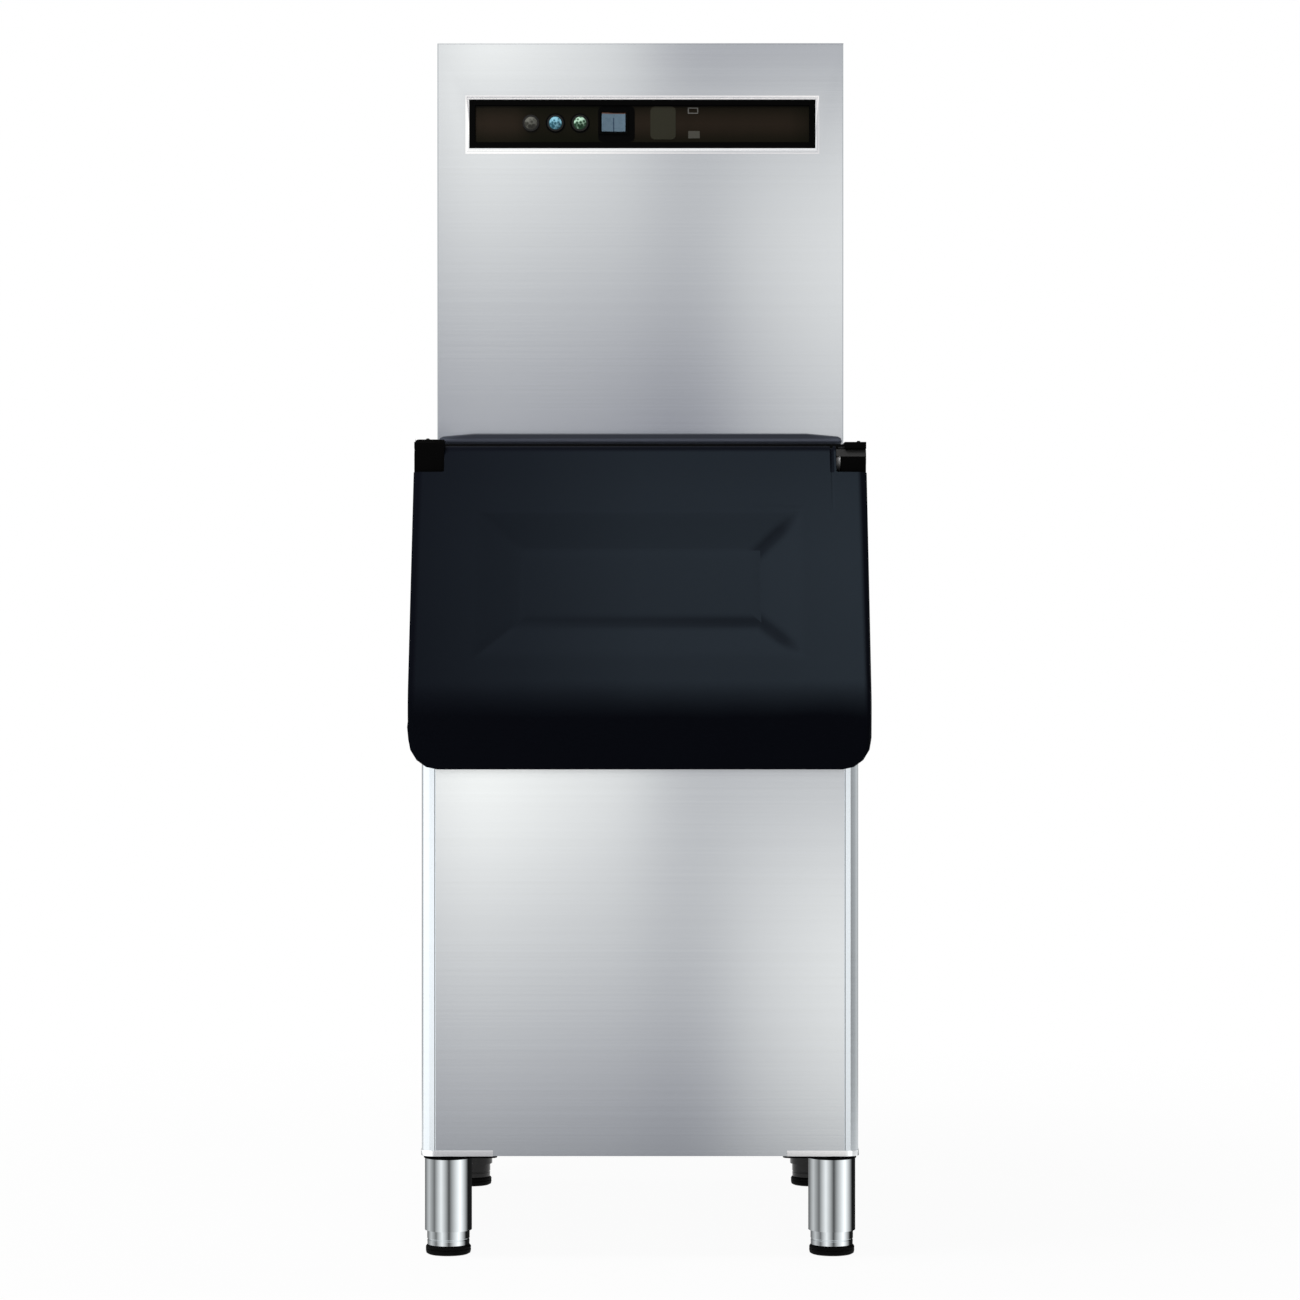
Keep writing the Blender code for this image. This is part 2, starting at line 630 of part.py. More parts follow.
def cut(obj, bm):
    return combine(obj, "DIFFERENCE", guide(obj.name + "_cutter", bm))


def join(obj, bm):
    return combine(obj, "UNION", guide(obj.name + "_joined", bm))


def tube(name, route, radius, look, resolution=2):
    """A round line through the points of a route, with its corners bent."""
    data = bpy.data.curves.new(name, "CURVE")
    data.dimensions = "3D"
    data.bevel_depth = radius
    data.bevel_resolution = resolution
    data.use_fill_caps = True
    points = bent_route([Vector(point) for point in route], radius)
    spline = data.splines.new("POLY")
    spline.points.add(len(points) - 1)
    for slot, point in zip(spline.points, points):
        slot.co = (*point, 1.0)
    return place(name, data, look)


def bent_route(corners, radius, steps=4):
    """Replaces each corner by a bend of about three tube diameters."""
    points = [corners[0]]
    for before, corner, after in zip(corners, corners[1:], corners[2:]):
        reach = min(6 * radius, (before - corner).length / 2, (after - corner).length / 2)
        start = corner + (before - corner).normalized() * reach
        end = corner + (after - corner).normalized() * reach
        for i in range(steps + 1):
            share = i / steps
            points.append(start.lerp(corner, share).lerp(corner.lerp(end, share), share))
    points.append(corners[-1])
    return points


# The mouth's slope
def mouth_point(up, out, x=0.0):
    y = FRONT_Y + up * MOUTH_RUN - out * MOUTH_RISE
    z = SILL_Z + up * MOUTH_RISE + out * MOUTH_RUN
    return Vector((x, y, z))


def mouth_yz(up, out):
    point = mouth_point(up, out)
    return point.y, point.z


def lean(bm):
    """Lays a shape made flat, as x, up and out, on the mouth's slope."""
    for vert in bm.verts:
        vert.co = mouth_point(vert.co.y, vert.co.z, vert.co.x)


def outside_mouth():
    """The space in front of the slope, as one cutter for all that ends on it."""
    bm = bmesh.new()
    outline = rectangle((-OVERRUN - BIN_HALF, -BIN_DEPTH), (BIN_HALF + OVERRUN, BIN_DEPTH))
    add_prism(bm, outline, "Z", 0, BIN_DEPTH)
    lean(bm)
    return guide("mouth_slope", bm)


# Storage bin
def bin_side_panel(name, side, slope):
    """A side sheet that wraps round the front corner and is hemmed at the back."""
    centre = (SEAM_X, FRONT_Y + BIN_CORNER_RADIUS)
    inner = BIN_HALF - BIN_SHEET
    quarter = math.pi / 2
    outline = [(BIN_HALF - BIN_HEM, BACK_Y), (BIN_HALF, BACK_Y)]
    outline += arc(centre, BIN_CORNER_RADIUS, 0, -quarter, CORNER_STEPS)
    outline += [(SEAM_X, FRONT_Y + BIN_HEM), (SEAM_X + BIN_SHEET, FRONT_Y + BIN_HEM)]
    bend_start = math.asin(BIN_SHEET / (BIN_CORNER_RADIUS - BIN_SHEET)) - quarter
    outline += arc(centre, BIN_CORNER_RADIUS - BIN_SHEET, bend_start, 0, CORNER_STEPS)
    outline += [(inner, BACK_Y - BIN_SHEET), (BIN_HALF - BIN_HEM, BACK_Y - BIN_SHEET)]
    bm = bmesh.new()
    add_prism(bm, mirrored(outline, side), "Z", LEG_HEIGHT, DECK_BASE_Z - SEAT)
    return combine(solid(name, bm, "stainless", True), "DIFFERENCE", slope)


def bin_front_panel(slope):
    """A flat sheet between the two corners, turned in at both seams."""
    bm = bmesh.new()
    add_prism(bm, channel(SEAM_X - SEAT, FRONT_Y, BIN_HEM, BIN_SHEET), "Z", LEG_HEIGHT, SILL_Z)
    return combine(solid("bin_front_panel", bm, "stainless"), "DIFFERENCE", slope)


def inside_outline():
    """The plan inside the sheets: the full width, and a tongue between the front hems."""
    tongue = SEAM_X - SEAT - BIN_SHEET - SEAT
    wide_front = FRONT_Y + BIN_CORNER_RADIUS
    outline = [(tongue, wide_front), (FOAM_HALF, wide_front), (FOAM_HALF, FOAM_BACK_Y)]
    outline += [(-FOAM_HALF, FOAM_BACK_Y), (-FOAM_HALF, wide_front), (-tongue, wide_front)]
    return outline + [(-tongue, FOAM_FRONT_Y), (tongue, FOAM_FRONT_Y)]


def drain_hole():
    bm = bmesh.new()
    centre = (0, LINER_BACK_Y, DRAIN_Z)
    radius = DRAIN_RADIUS + SEAT
    add_cylinder(bm, "Y", centre, radius, -LINER_WALL - OVERRUN, FOAM_WALL + OVERRUN, SMALL_STEPS)
    return guide("drain_hole", bm)


def bin_back_panel(hole):
    half = BIN_HALF - BIN_HEM - SEAT
    bm = bmesh.new()
    add_box(bm, (-half, BACK_Y - BIN_SHEET, LEG_HEIGHT), (half, BACK_Y, DECK_BASE_Z - SEAT))
    return combine(solid("bin_back_panel", bm, "galvanised"), "DIFFERENCE", hole)


def bin_base():
    bm = bmesh.new()
    add_prism(bm, inside_outline(), "Z", LEG_HEIGHT, LEG_HEIGHT + BIN_BASE_SHEET)
    return solid("bin_base", bm, "galvanised")


def add_tub(bm, growth, top):
    """The liner's shape, grown by some thickness, with rounded corners and floor."""
    low = (-LINER_HALF - growth, LINER_FRONT_Y - growth)
    high = (LINER_HALF + growth, LINER_BACK_Y + growth)
    outline = rounded_rectangle(low, high, LINER_CORNER_RADIUS + growth)
    floor, _ = add_prism(bm, outline, "Z", LINER_BASE_Z - growth, top)
    bevel_rim(bm, floor + floor[:1], LINER_FLOOR_RADIUS + growth, CORNER_STEPS - 1)


def bin_insulation(slope, hole):
    """Poured foam between the sheets and the liner."""
    bm = bmesh.new()
    add_prism(bm, inside_outline(), "Z", FOAM_BASE_Z, DECK_BASE_Z - SEAT)
    foam = solid("bin_insulation", bm, "insulating_foam")
    hollow = bmesh.new()
    add_tub(hollow, SEAT, DECK_BASE_Z + OVERRUN)
    cut(foam, hollow)
    combine(foam, "DIFFERENCE", slope)
    return combine(foam, "DIFFERENCE", hole)


def bin_liner(slope, hole):
    """The moulded tub that holds the ice."""
    bm = bmesh.new()
    add_tub(bm, 0, DECK_BASE_Z - SEAT)
    liner = solid("bin_liner", bm, "white_liner", True)
    hollow = bmesh.new()
    add_tub(hollow, -LINER_WALL, DECK_BASE_Z + OVERRUN)
    cut(liner, hollow)
    combine(liner, "DIFFERENCE", slope)
    return combine(liner, "DIFFERENCE", hole)


def bin_top_deck(slope):
    """The shelf that the head stands on, open where the ice drops."""
    bm = bmesh.new()
    low = (-BIN_HALF, MOUTH_TOP_Y - OVERRUN, DECK_BASE_Z)
    add_box(bm, low, (BIN_HALF, BACK_Y, BIN_TOP_Z))
    deck = solid("bin_top_deck", bm, "stainless")
    opening = bmesh.new()
    half = BIN_HALF - DECK_SIDE_RAIL
    low = (-half, MOUTH_TOP_Y + DECK_FRONT_RAIL)
    high = (half, BACK_Y - DECK_BACK_RAIL)
    outline = rounded_rectangle(low, high, DECK_CORNER_RADIUS)
    add_prism(opening, outline, "Z", DECK_BASE_Z - OVERRUN, BIN_TOP_Z + OVERRUN)
    cut(deck, opening)
    return combine(deck, "DIFFERENCE", slope)


def bin_mouth_trim():
    """A flat moulded frame on the slope, level with the liner's inner walls."""
    bm = bmesh.new()
    outline = rectangle((-BIN_HALF, 0), (BIN_HALF, MOUTH_LENGTH))
    add_prism(bm, outline, "Z", SEAT, SEAT + TRIM_THICKNESS)
    lean(bm)
    trim = solid("bin_mouth_trim", bm, "black_moulding")
    opening = bmesh.new()
    half = LINER_HALF - LINER_WALL
    sill_up = (LINER_FRONT_Y + LINER_WALL - FRONT_Y) / MOUTH_RUN
    outline = rounded_rectangle((-half, sill_up), (half, MOUTH_LENGTH - TRIM_TOP_BAND), TRIM_CORNER_RADIUS)
    add_prism(opening, outline, "Z", -OVERRUN, TRIM_THICKNESS + OVERRUN)
    lean(opening)
    return cut(trim, opening)


def bin_header_trim():
    """The bar across the head's foot, between the hinge caps and lower at both ends."""
    base = BIN_TOP_Z + SEAT
    half = HEADER_HALF
    flat = half - HEADER_TAPER
    outline = [(-half, base), (half, base), (half, base + HEADER_END_HEIGHT)]
    outline += [(flat, base + HEADER_HEIGHT), (-flat, base + HEADER_HEIGHT)]
    outline += [(-half, base + HEADER_END_HEIGHT)]
    back = HEAD_FRONT_Y - SEAT
    bm = bmesh.new()
    add_prism(bm, outline, "Y", back - HEADER_DEPTH, back)
    return solid("bin_header_trim", bm, "black_moulding")


def bin_drain():
    """The drain tube, from a flange in the tub out through the back."""
    tail = BACK_Y + DRAIN_PROUD - LINER_BACK_Y
    seat = -LINER_WALL - SEAT
    profile = [
        (DRAIN_BORE_RADIUS, seat - DRAIN_FLANGE),
        (DRAIN_FLANGE_RADIUS, seat - DRAIN_FLANGE),
        (DRAIN_FLANGE_RADIUS, seat),
        (DRAIN_RADIUS, seat),
        (DRAIN_RADIUS, tail),
        (DRAIN_BORE_RADIUS, tail),
    ]
    bm = bmesh.new()
    add_lathe(bm, profile, "Y", (0, LINER_BACK_Y, DRAIN_Z), SMALL_STEPS)
    return solid("bin_drain", bm, "grey_moulding", True)


# Lid
def nose_arc(offset, steps=LID_NOSE_STEPS):
    """The lid's nose, moved inward, from the slope round to the upright skirt."""
    centre = mouth_yz(NOSE_UP, NOSE_OUT)
    return arc(centre, LID_NOSE_RADIUS - offset, math.pi - MOUTH_ANGLE, math.pi, steps)


def lid_blank():
    """The lid's whole outer shape, with its long edges rounded."""
    barrel = arc(mouth_yz(AXIS_UP, AXIS_OUT), BARREL_RADIUS, -MOUTH_ANGLE, math.pi - MOUTH_ANGLE, 8)
    front = nose_arc(0) + [(LID_FRONT_Y, LID_BOTTOM_Z)]
    flange_up = LID_FLANGE_REACH * (1 - MOUTH_RISE) / MOUTH_RUN
    back = [
        (SKIRT_BACK_Y, LID_BOTTOM_Z),
        mouth_yz(flange_up, -LID_FLANGE_REACH),
        mouth_yz(HOLLOW_UP, -LID_FLANGE_REACH),
        mouth_yz(HOLLOW_UP, LID_INNER_OUT),
    ]
    bm = bmesh.new()
    first, last = add_prism(bm, barrel + front + back, "X", -LID_HALF, LID_HALF)
    face = slice(len(barrel) - 1, len(barrel) + len(front))
    bevel_rim(bm, first[face], LID_EDGE_RADIUS, 3)
    bevel_rim(bm, last[face], LID_EDGE_RADIUS, 3)
    return bm


def lid_corners(inset):
    """What is outside the round lower corners, for the lid or for its hollow."""
    half = LID_HALF - inset
    bottom = LID_BOTTOM_Z + inset
    radius = LID_CORNER_RADIUS - inset
    centre = (half - radius, bottom + radius)
    outline = arc(centre, radius, -math.pi / 2, 0, CORNER_STEPS)
    outline += [(half + OVERRUN, bottom + radius), (half + OVERRUN, bottom - OVERRUN)]
    outline += [(half - radius, bottom - OVERRUN)]
    bm = bmesh.new()
    for side in (-1, 1):
        add_prism(bm, mirrored(outline, side), "Y", LID_FRONT_Y - OVERRUN, 0)
    return bm


def relief(depth):
    """The sunk panel in the lid's face, as a cutter that ends a depth below the face."""
    rows = (
        (LID_OUTER_OUT - RELIEF_DEPTH - depth, RELIEF_BORDER),
        (LID_OUTER_OUT - depth, 0),
        (LID_OUTER_OUT + OVERRUN, 0),
    )
    sections = []
    for out, inset in rows:
        half = RELIEF_HALF - inset
        outline = rectangle((-half, RELIEF_FOOT + inset), (half, RELIEF_TOP - inset))
        sections.append([mouth_point(up, out, x) for x, up in outline])
    bm = bmesh.new()
    add_loft(bm, sections)
    return bm


def lid_hollow():
    """The space inside the lid's shell, open to the back and through the grip slot."""
    half = LID_HALF - LID_WALL
    floor = LID_BOTTOM_Z + LID_WALL
    back = SKIRT_BACK_Y + OVERRUN
    outline = [mouth_yz(HOLLOW_UP, LID_OUTER_OUT - LID_WALL)] + nose_arc(LID_WALL)
    outline += [(LID_FRONT_Y + LID_WALL, floor), (back, floor)]
    outline += [
        mouth_yz(HOLLOW_UP + OVERRUN, -LID_FLANGE_REACH - OVERRUN),
        mouth_yz(HOLLOW_UP, LID_INNER_OUT),
    ]
    bm = bmesh.new()
    add_prism(bm, outline, "X", -half, half)
    hollow = guide("lid_shell_hollow", bm)
    combine(hollow, "DIFFERENCE", guide("lid_hollow_corners", lid_corners(LID_WALL)))
    combine(hollow, "DIFFERENCE", guide("lid_hollow_relief", relief(LID_WALL)))
    slot = bmesh.new()
    slot_half = LID_HALF - LID_GRIP_MARGIN
    low = (-slot_half, LID_FRONT_Y + LID_LIP_REACH, LID_BOTTOM_Z - OVERRUN)
    add_box(slot, low, (slot_half, back, floor + LID_WALL))
    combine(hollow, "UNION", guide("lid_grip_slot", slot))
    room = bmesh.new()
    room_half = BIN_HALF + LID_BIN_GAP
    low = (-room_half, FRONT_Y - LID_BIN_GAP, LID_BOTTOM_Z - OVERRUN)
    add_box(room, low, (room_half, back, LID_BOTTOM_Z + LID_CORNER_RADIUS))
    return combine(hollow, "UNION", guide("lid_bin_room", room))


def lid_notches():
    """The corners cut out beside the hinge knuckles, and the bores for the pins."""
    bm = bmesh.new()
    low_out = -LID_FLANGE_REACH - OVERRUN
    for side in (-1, 1):
        near = side * BARREL_HALF
        far = side * (LID_HALF + OVERRUN)
        outline = rectangle((min(near, far), NOTCH_UP), (max(near, far), MOUTH_LENGTH + OVERRUN))
        add_prism(bm, outline, "Z", low_out, LID_OUTER_OUT + OVERRUN)
    lean(bm)
    return bm


def pin_bores(reach):
    bm = bmesh.new()
    for side in (-1, 1):
        ends = sorted((side * (BARREL_HALF - reach), side * (LID_HALF + OVERRUN)))
        centre = mouth_point(AXIS_UP, AXIS_OUT)
        add_cylinder(bm, "X", centre, PIN_RADIUS + PIN_CLEARANCE, *ends, SMALL_STEPS)
    return bm


def lid_shell():
    """The moulded outer lid: face, nose, skirt and side flanges in one."""
    shell = solid("lid_shell", lid_blank(), "black_moulding", True)
    combine(shell, "DIFFERENCE", guide("lid_outer_corners", lid_corners(0)))
    combine(shell, "DIFFERENCE", lid_hollow())
    combine(shell, "DIFFERENCE", guide("lid_relief", relief(0)))
    combine(shell, "DIFFERENCE", guide("lid_notches", lid_notches()))
    return combine(shell, "DIFFERENCE", guide("lid_pin_bores", pin_bores(PIN_REACH + PIN_CLEARANCE)))


def lid_inside_path(depth):
    """The lid's inner face at some depth: down the slope, then down behind the sill."""
    sill_y = FRONT_Y - LID_INNER_OUT * MOUTH_RISE
    nose_z = mouth_yz(NOSE_UP, NOSE_OUT)[1]
    bend_up = -depth * (1 - MOUTH_RISE) / MOUTH_RUN
    return [
        mouth_yz(HOLLOW_UP - SEAT, LID_INNER_OUT + depth),
        mouth_yz(bend_up, LID_INNER_OUT + depth),
        (sill_y - depth, nose_z + depth),
    ]


def nose_inside(height):
    """The angle on the inside of the nose at a height above its centre."""
    return math.pi - math.asin(height / (LID_NOSE_RADIUS - LID_WALL - SEAT))


def lid_liner():
    """The flat inner panel, turned forward at its foot to close the lid."""
    radius = LID_NOSE_RADIUS - LID_WALL - SEAT
    centre = mouth_yz(NOSE_UP, NOSE_OUT)
    outline = lid_inside_path(0)
    outline += arc(centre, radius, math.pi, nose_inside(LID_LINER_WALL), 1)
    outline += reversed(lid_inside_path(LID_LINER_WALL))
    half = LID_HALF - LID_WALL - SEAT
    bm = bmesh.new()
    add_prism(bm, outline, "X", -half, half)
    return solid("lid_liner", bm, "white_liner")


def lid_insulation():
    """Foam between the shell and the inner panel."""
    radius = LID_NOSE_RADIUS - LID_WALL - SEAT
    centre = mouth_yz(NOSE_UP, NOSE_OUT)
    outline = [mouth_yz(HOLLOW_UP - SEAT, LID_OUTER_OUT - LID_WALL - SEAT)]
    outline += arc(centre, radius, math.pi - MOUTH_ANGLE, nose_inside(LID_LINER_WALL + SEAT), 6)
    outline += reversed(lid_inside_path(LID_LINER_WALL + SEAT))
    half = LID_HALF - LID_WALL - SEAT
    bm = bmesh.new()
    add_prism(bm, outline, "X", -half, half)
    foam = solid("lid_insulation", bm, "insulating_foam")
    return cut(foam, relief(LID_WALL + SEAT))


def hinge_bracket(name, side):
    """A knuckle in front of the mouth, carried by a plate on the bin's side."""
    y, z = mouth_yz(AXIS_UP, AXIS_OUT)
    outer = side * LID_HALF
    bm = bmesh.new()
    add_cylinder(bm, "X", (0, y, z), KNUCKLE_RADIUS, *sorted((side * KNUCKLE_X, outer)))
    bracket = solid(name, bm, "black_moulding", True)
    plate = bmesh.new()
    plate_x = BIN_HALF + SEAT
    outline = [
        (y, z - KNUCKLE_RADIUS + BRACKET_EDGE),
        (y + BRACKET_PLATE_NECK, z - KNUCKLE_RADIUS + BRACKET_EDGE),
        (y + BRACKET_PLATE_NECK, z - BRACKET_PLATE_DROP),
        (y + BRACKET_PLATE_LENGTH, z - BRACKET_PLATE_DROP),
        (y + BRACKET_PLATE_LENGTH, z + KNUCKLE_RADIUS - BRACKET_EDGE),
        (y, z + KNUCKLE_RADIUS - BRACKET_EDGE),
    ]
    add_prism(plate, outline, "X", *sorted((side * plate_x, side * (plate_x + BRACKET_PLATE))))
    join(bracket, plate)
    cap = bmesh.new()
    low = (y - BRACKET_CAP_FRONT, z + BRACKET_CAP_TOP - BRACKET_CAP_THICKNESS)
    high = (y + BRACKET_CAP_BACK, z + BRACKET_CAP_TOP)
    outline = rounded_rectangle(low, high, BRACKET_EDGE, 2)
    inner = side * (KNUCKLE_X + BRACKET_CAP_INSET)
    add_prism(cap, outline, "X", *sorted((inner, outer)))
    combine(bracket, "UNION", guide(name + "_cap", cap))
    return combine(bracket, "DIFFERENCE", guide(name + "_bore", pin_bores(OVERRUN)))


def hinge_pin(name, side):
    y, z = mouth_yz(AXIS_UP, AXIS_OUT)
    bm = bmesh.new()
    ends = sorted((side * (BARREL_HALF - PIN_REACH), side * LID_HALF))
    add_cylinder(bm, "X", (0, y, z), PIN_RADIUS, *ends, SMALL_STEPS)
    return solid(name, bm, "chrome", True)


# Legs
def leg(name, x, y, look):
    """A tube under a mounting plate, with a nut plate inside it for the foot's stem."""
    bm = bmesh.new()
    inner = LEG_TUBE_RADIUS - LEG_TUBE_WALL
    bore = STEM_RADIUS + FOOT_CLEARANCE
    nut_base = FOOT_TOP + SEAT
    plate_top = LEG_HEIGHT - SEAT
    plate_base = plate_top - LEG_PLATE_THICKNESS
    profile = [
        (LEG_TUBE_RADIUS, LEG_TUBE_BOTTOM),
        (LEG_TUBE_RADIUS, plate_top - LEG_PLATE_THICKNESS / 2),
        (inner, plate_top - LEG_PLATE_THICKNESS / 2),
        (inner, nut_base + NUT_PLATE),
        (bore, nut_base + NUT_PLATE),
        (bore, nut_base),
        (inner, nut_base),
        (inner, LEG_TUBE_BOTTOM),
    ]
    add_lathe(bm, profile, "Z", (x, y, 0))
    tube_part = solid(name, bm, look, True)
    plate = bmesh.new()
    side = math.copysign(1, x)
    outer = side * x + LEG_TUBE_RADIUS - LEG_TUBE_WALL / 2
    low = (outer - LEG_PLATE_LENGTH, y - LEG_PLATE_LENGTH / 2)
    high = (outer, y + LEG_PLATE_LENGTH / 2)
    outline = rounded_rectangle(low, high, LEG_PLATE_RADIUS, 2)
    add_prism(plate, mirrored(outline, side), "Z", plate_base, plate_top)
    return join(tube_part, plate)


def foot(name, x, y):
    """A plug that slides in the leg, with its stem above and a black pad below."""
    plug = LEG_TUBE_RADIUS - LEG_TUBE_WALL - FOOT_CLEARANCE
    profile = [
        (0, 0),
        (PAD_BOTTOM_RADIUS, 0),
        (PAD_RADIUS, PAD_BAND),
        (PAD_RADIUS, PAD_HEIGHT),
        (plug, PAD_HEIGHT + PAD_GROOVE),
        (plug, FOOT_TOP),
        (STEM_RADIUS, FOOT_TOP),
        (STEM_RADIUS, STEM_TOP),
        (0, STEM_TOP),
    ]
    bm = bmesh.new()
    add_lathe(bm, profile, "Z", (x, y, 0))
    return solid(name, bm, "black_rubber", True)


def legs_and_feet():
    x = BIN_HALF - LEG_INSET_X
    rows = (("front", FRONT_Y + LEG_INSET_Y, "chrome"), ("rear", BACK_Y - LEG_INSET_Y, "black_enamel"))
    for row, y, look in rows:
        for column, side in (("left", -1), ("right", 1)):
            leg(f"leg_{row}_{column}", side * x, y, look)
            foot(f"foot_{row}_{column}", side * x, y)


# Head cabinet
def add_tray(bm, base, top, flange_low, flange_high):
    """A sheet over the head's whole plan, with a flange standing inside the walls."""
    add_box(bm, (-HEAD_HALF, HEAD_FRONT_Y, base), (HEAD_HALF, BACK_Y, top))
    ring = bmesh.new()
    add_box(ring, (-TRAY_HALF, TRAY_FRONT_Y, flange_low), (TRAY_HALF, TRAY_BACK_Y, flange_high))
    inside = bmesh.new()
    half = TRAY_HALF - PAN_SHEET
    low = (-half, TRAY_FRONT_Y + PAN_SHEET, flange_low - OVERRUN)
    add_box(inside, low, (half, TRAY_BACK_Y - PAN_SHEET, flange_high + OVERRUN))
    return cut(guide("tray_flange", ring), inside)


def chute_box(growth, low, high):
    bm = bmesh.new()
    corner = (CHUTE_LEFT_X - growth, CHUTE_FRONT_Y - growth, low)
    add_box(bm, corner, (CHUTE_RIGHT_X + growth, CHUTE_BACK_Y + growth, high))
    return bm


def head_base_pan():
    """The head's floor, with the collar that the ice drops through."""
    bm = bmesh.new()
    middle = HEAD_BASE_Z + PAN_SHEET / 2
    flange = add_tray(bm, HEAD_BASE_Z, PAN_TOP_Z, middle, PAN_TOP_Z + PAN_FLANGE)
    pan = combine(solid("head_base_pan", bm, "stainless"), "UNION", flange)
    join(pan, chute_box(PAN_SHEET, HEAD_BASE_Z - CHUTE_DROP, PAN_TOP_Z + CHUTE_RIM))
    return cut(pan, chute_box(0, HEAD_BASE_Z - OVERRUN, PAN_TOP_Z + OVERRUN))


def head_top_panel():
    bm = bmesh.new()
    sheet_base = HEAD_TOP_Z - HEAD_SHEET
    flange = add_tray(bm, sheet_base, HEAD_TOP_Z, sheet_base - PAN_FLANGE, sheet_base + HEAD_SHEET / 2)
    return combine(solid("head_top_panel", bm, "stainless"), "UNION", flange)


def head_side_panel(name, side):
    """A side sheet behind the front panel's return, hemmed at the back."""
    inner = HEAD_HALF - HEAD_SHEET
    outline = [
        (inner, HEAD_FRONT_Y + HEAD_FRONT_RETURN + SEAT),
        (HEAD_HALF, HEAD_FRONT_Y + HEAD_FRONT_RETURN + SEAT),
        (HEAD_HALF, BACK_Y),
        (HEAD_HALF - HEAD_HEM, BACK_Y),
        (HEAD_HALF - HEAD_HEM, BACK_Y - HEAD_SHEET),
        (inner, BACK_Y - HEAD_SHEET),
    ]
    bm = bmesh.new()
    add_prism(bm, mirrored(outline, side), "Z", HEAD_WALL_BASE_Z, HEAD_WALL_TOP_Z)
    return solid(name, bm, "stainless")


def louvre_wedges(outline, inset):
    """One wedge for each louvre in the left side, all of one section."""
    bm = bmesh.new()
    back = BACK_Y - LOUVRE_BACK
    for row in range(LOUVRE_ROWS):
        base = HEAD_BASE_Z + LOUVRE_BOTTOM + row * LOUVRE_PITCH
        section = [(-HEAD_HALF - out, base + up) for out, up in outline]
        near = back - LOUVRE_LENGTH + inset
        corners = [[Vector((x, y, z)) for x, z in section] for y in (near, back - inset)]
        add_loft(bm, corners)
    return bm


def add_louvres(panel):
    """Hoods pressed out of the sheet, each open below and behind."""
    slope = LOUVRE_PROUD / LOUVRE_HEIGHT
    wall = LOUVRE_WALL * math.hypot(1, slope)
    sunk = -HEAD_SHEET / 2
    behind = -HEAD_SHEET - LOUVRE_WALL
    top = LOUVRE_HEIGHT * (1 - sunk / LOUVRE_PROUD)
    join(panel, louvre_wedges([(sunk, 0), (LOUVRE_PROUD, 0), (sunk, top)], 0))
    below = -LOUVRE_UNDERCUT
    nose = LOUVRE_PROUD - wall - below * slope
    inside_top = (LOUVRE_PROUD - wall - behind) / slope
    return cut(panel, louvre_wedges([(behind, below), (nose, below), (behind, inside_top)], LOUVRE_WALL))


def head_front_panel():
    """The plain front, returned round both sides, with the dished control window."""
    outline = channel(HEAD_HALF, HEAD_FRONT_Y, HEAD_FRONT_RETURN, HEAD_SHEET)
    bm = bmesh.new()
    add_prism(bm, outline, "Z", HEAD_WALL_BASE_Z, HEAD_WALL_TOP_Z)
    panel = solid("head_front_panel", bm, "stainless")
    bevel_back = HEAD_FRONT_Y + WINDOW_BEVEL_DEPTH
    return_end = bevel_back + WINDOW_RETURN
    join(panel, window_funnel(HEAD_SHEET, HEAD_FRONT_Y + HEAD_SHEET / 2, bevel_back, return_end))
    return cut(panel, window_funnel(0, HEAD_FRONT_Y, bevel_back, return_end + OVERRUN, OVERRUN))


def window_funnel(growth, front, bevel_back, end, ahead=0):
    """The window's dished shape: a bevelled mouth and a straight throat."""
    slope = WINDOW_BEVEL / WINDOW_BEVEL_DEPTH
    mouth = WINDOW_BEVEL - (front - HEAD_FRONT_Y) * slope
    rows = [(front - ahead, mouth)] if ahead else []
    rows += [(front, mouth), (bevel_back, 0), (end, 0)]
    sections = []
    for y, spread in rows:
        half_width = WINDOW_HALF - WINDOW_BEVEL + spread + growth
        half_height = WINDOW_HEIGHT / 2 - WINDOW_BEVEL + spread + growth
        low = (WINDOW_X - half_width, WINDOW_Z - half_height)
        corners = rectangle(low, (WINDOW_X + half_width, WINDOW_Z + half_height))
        sections.append([Vector((x, y, z)) for x, z in corners])
    bm = bmesh.new()
    add_loft(bm, sections)
    return bm


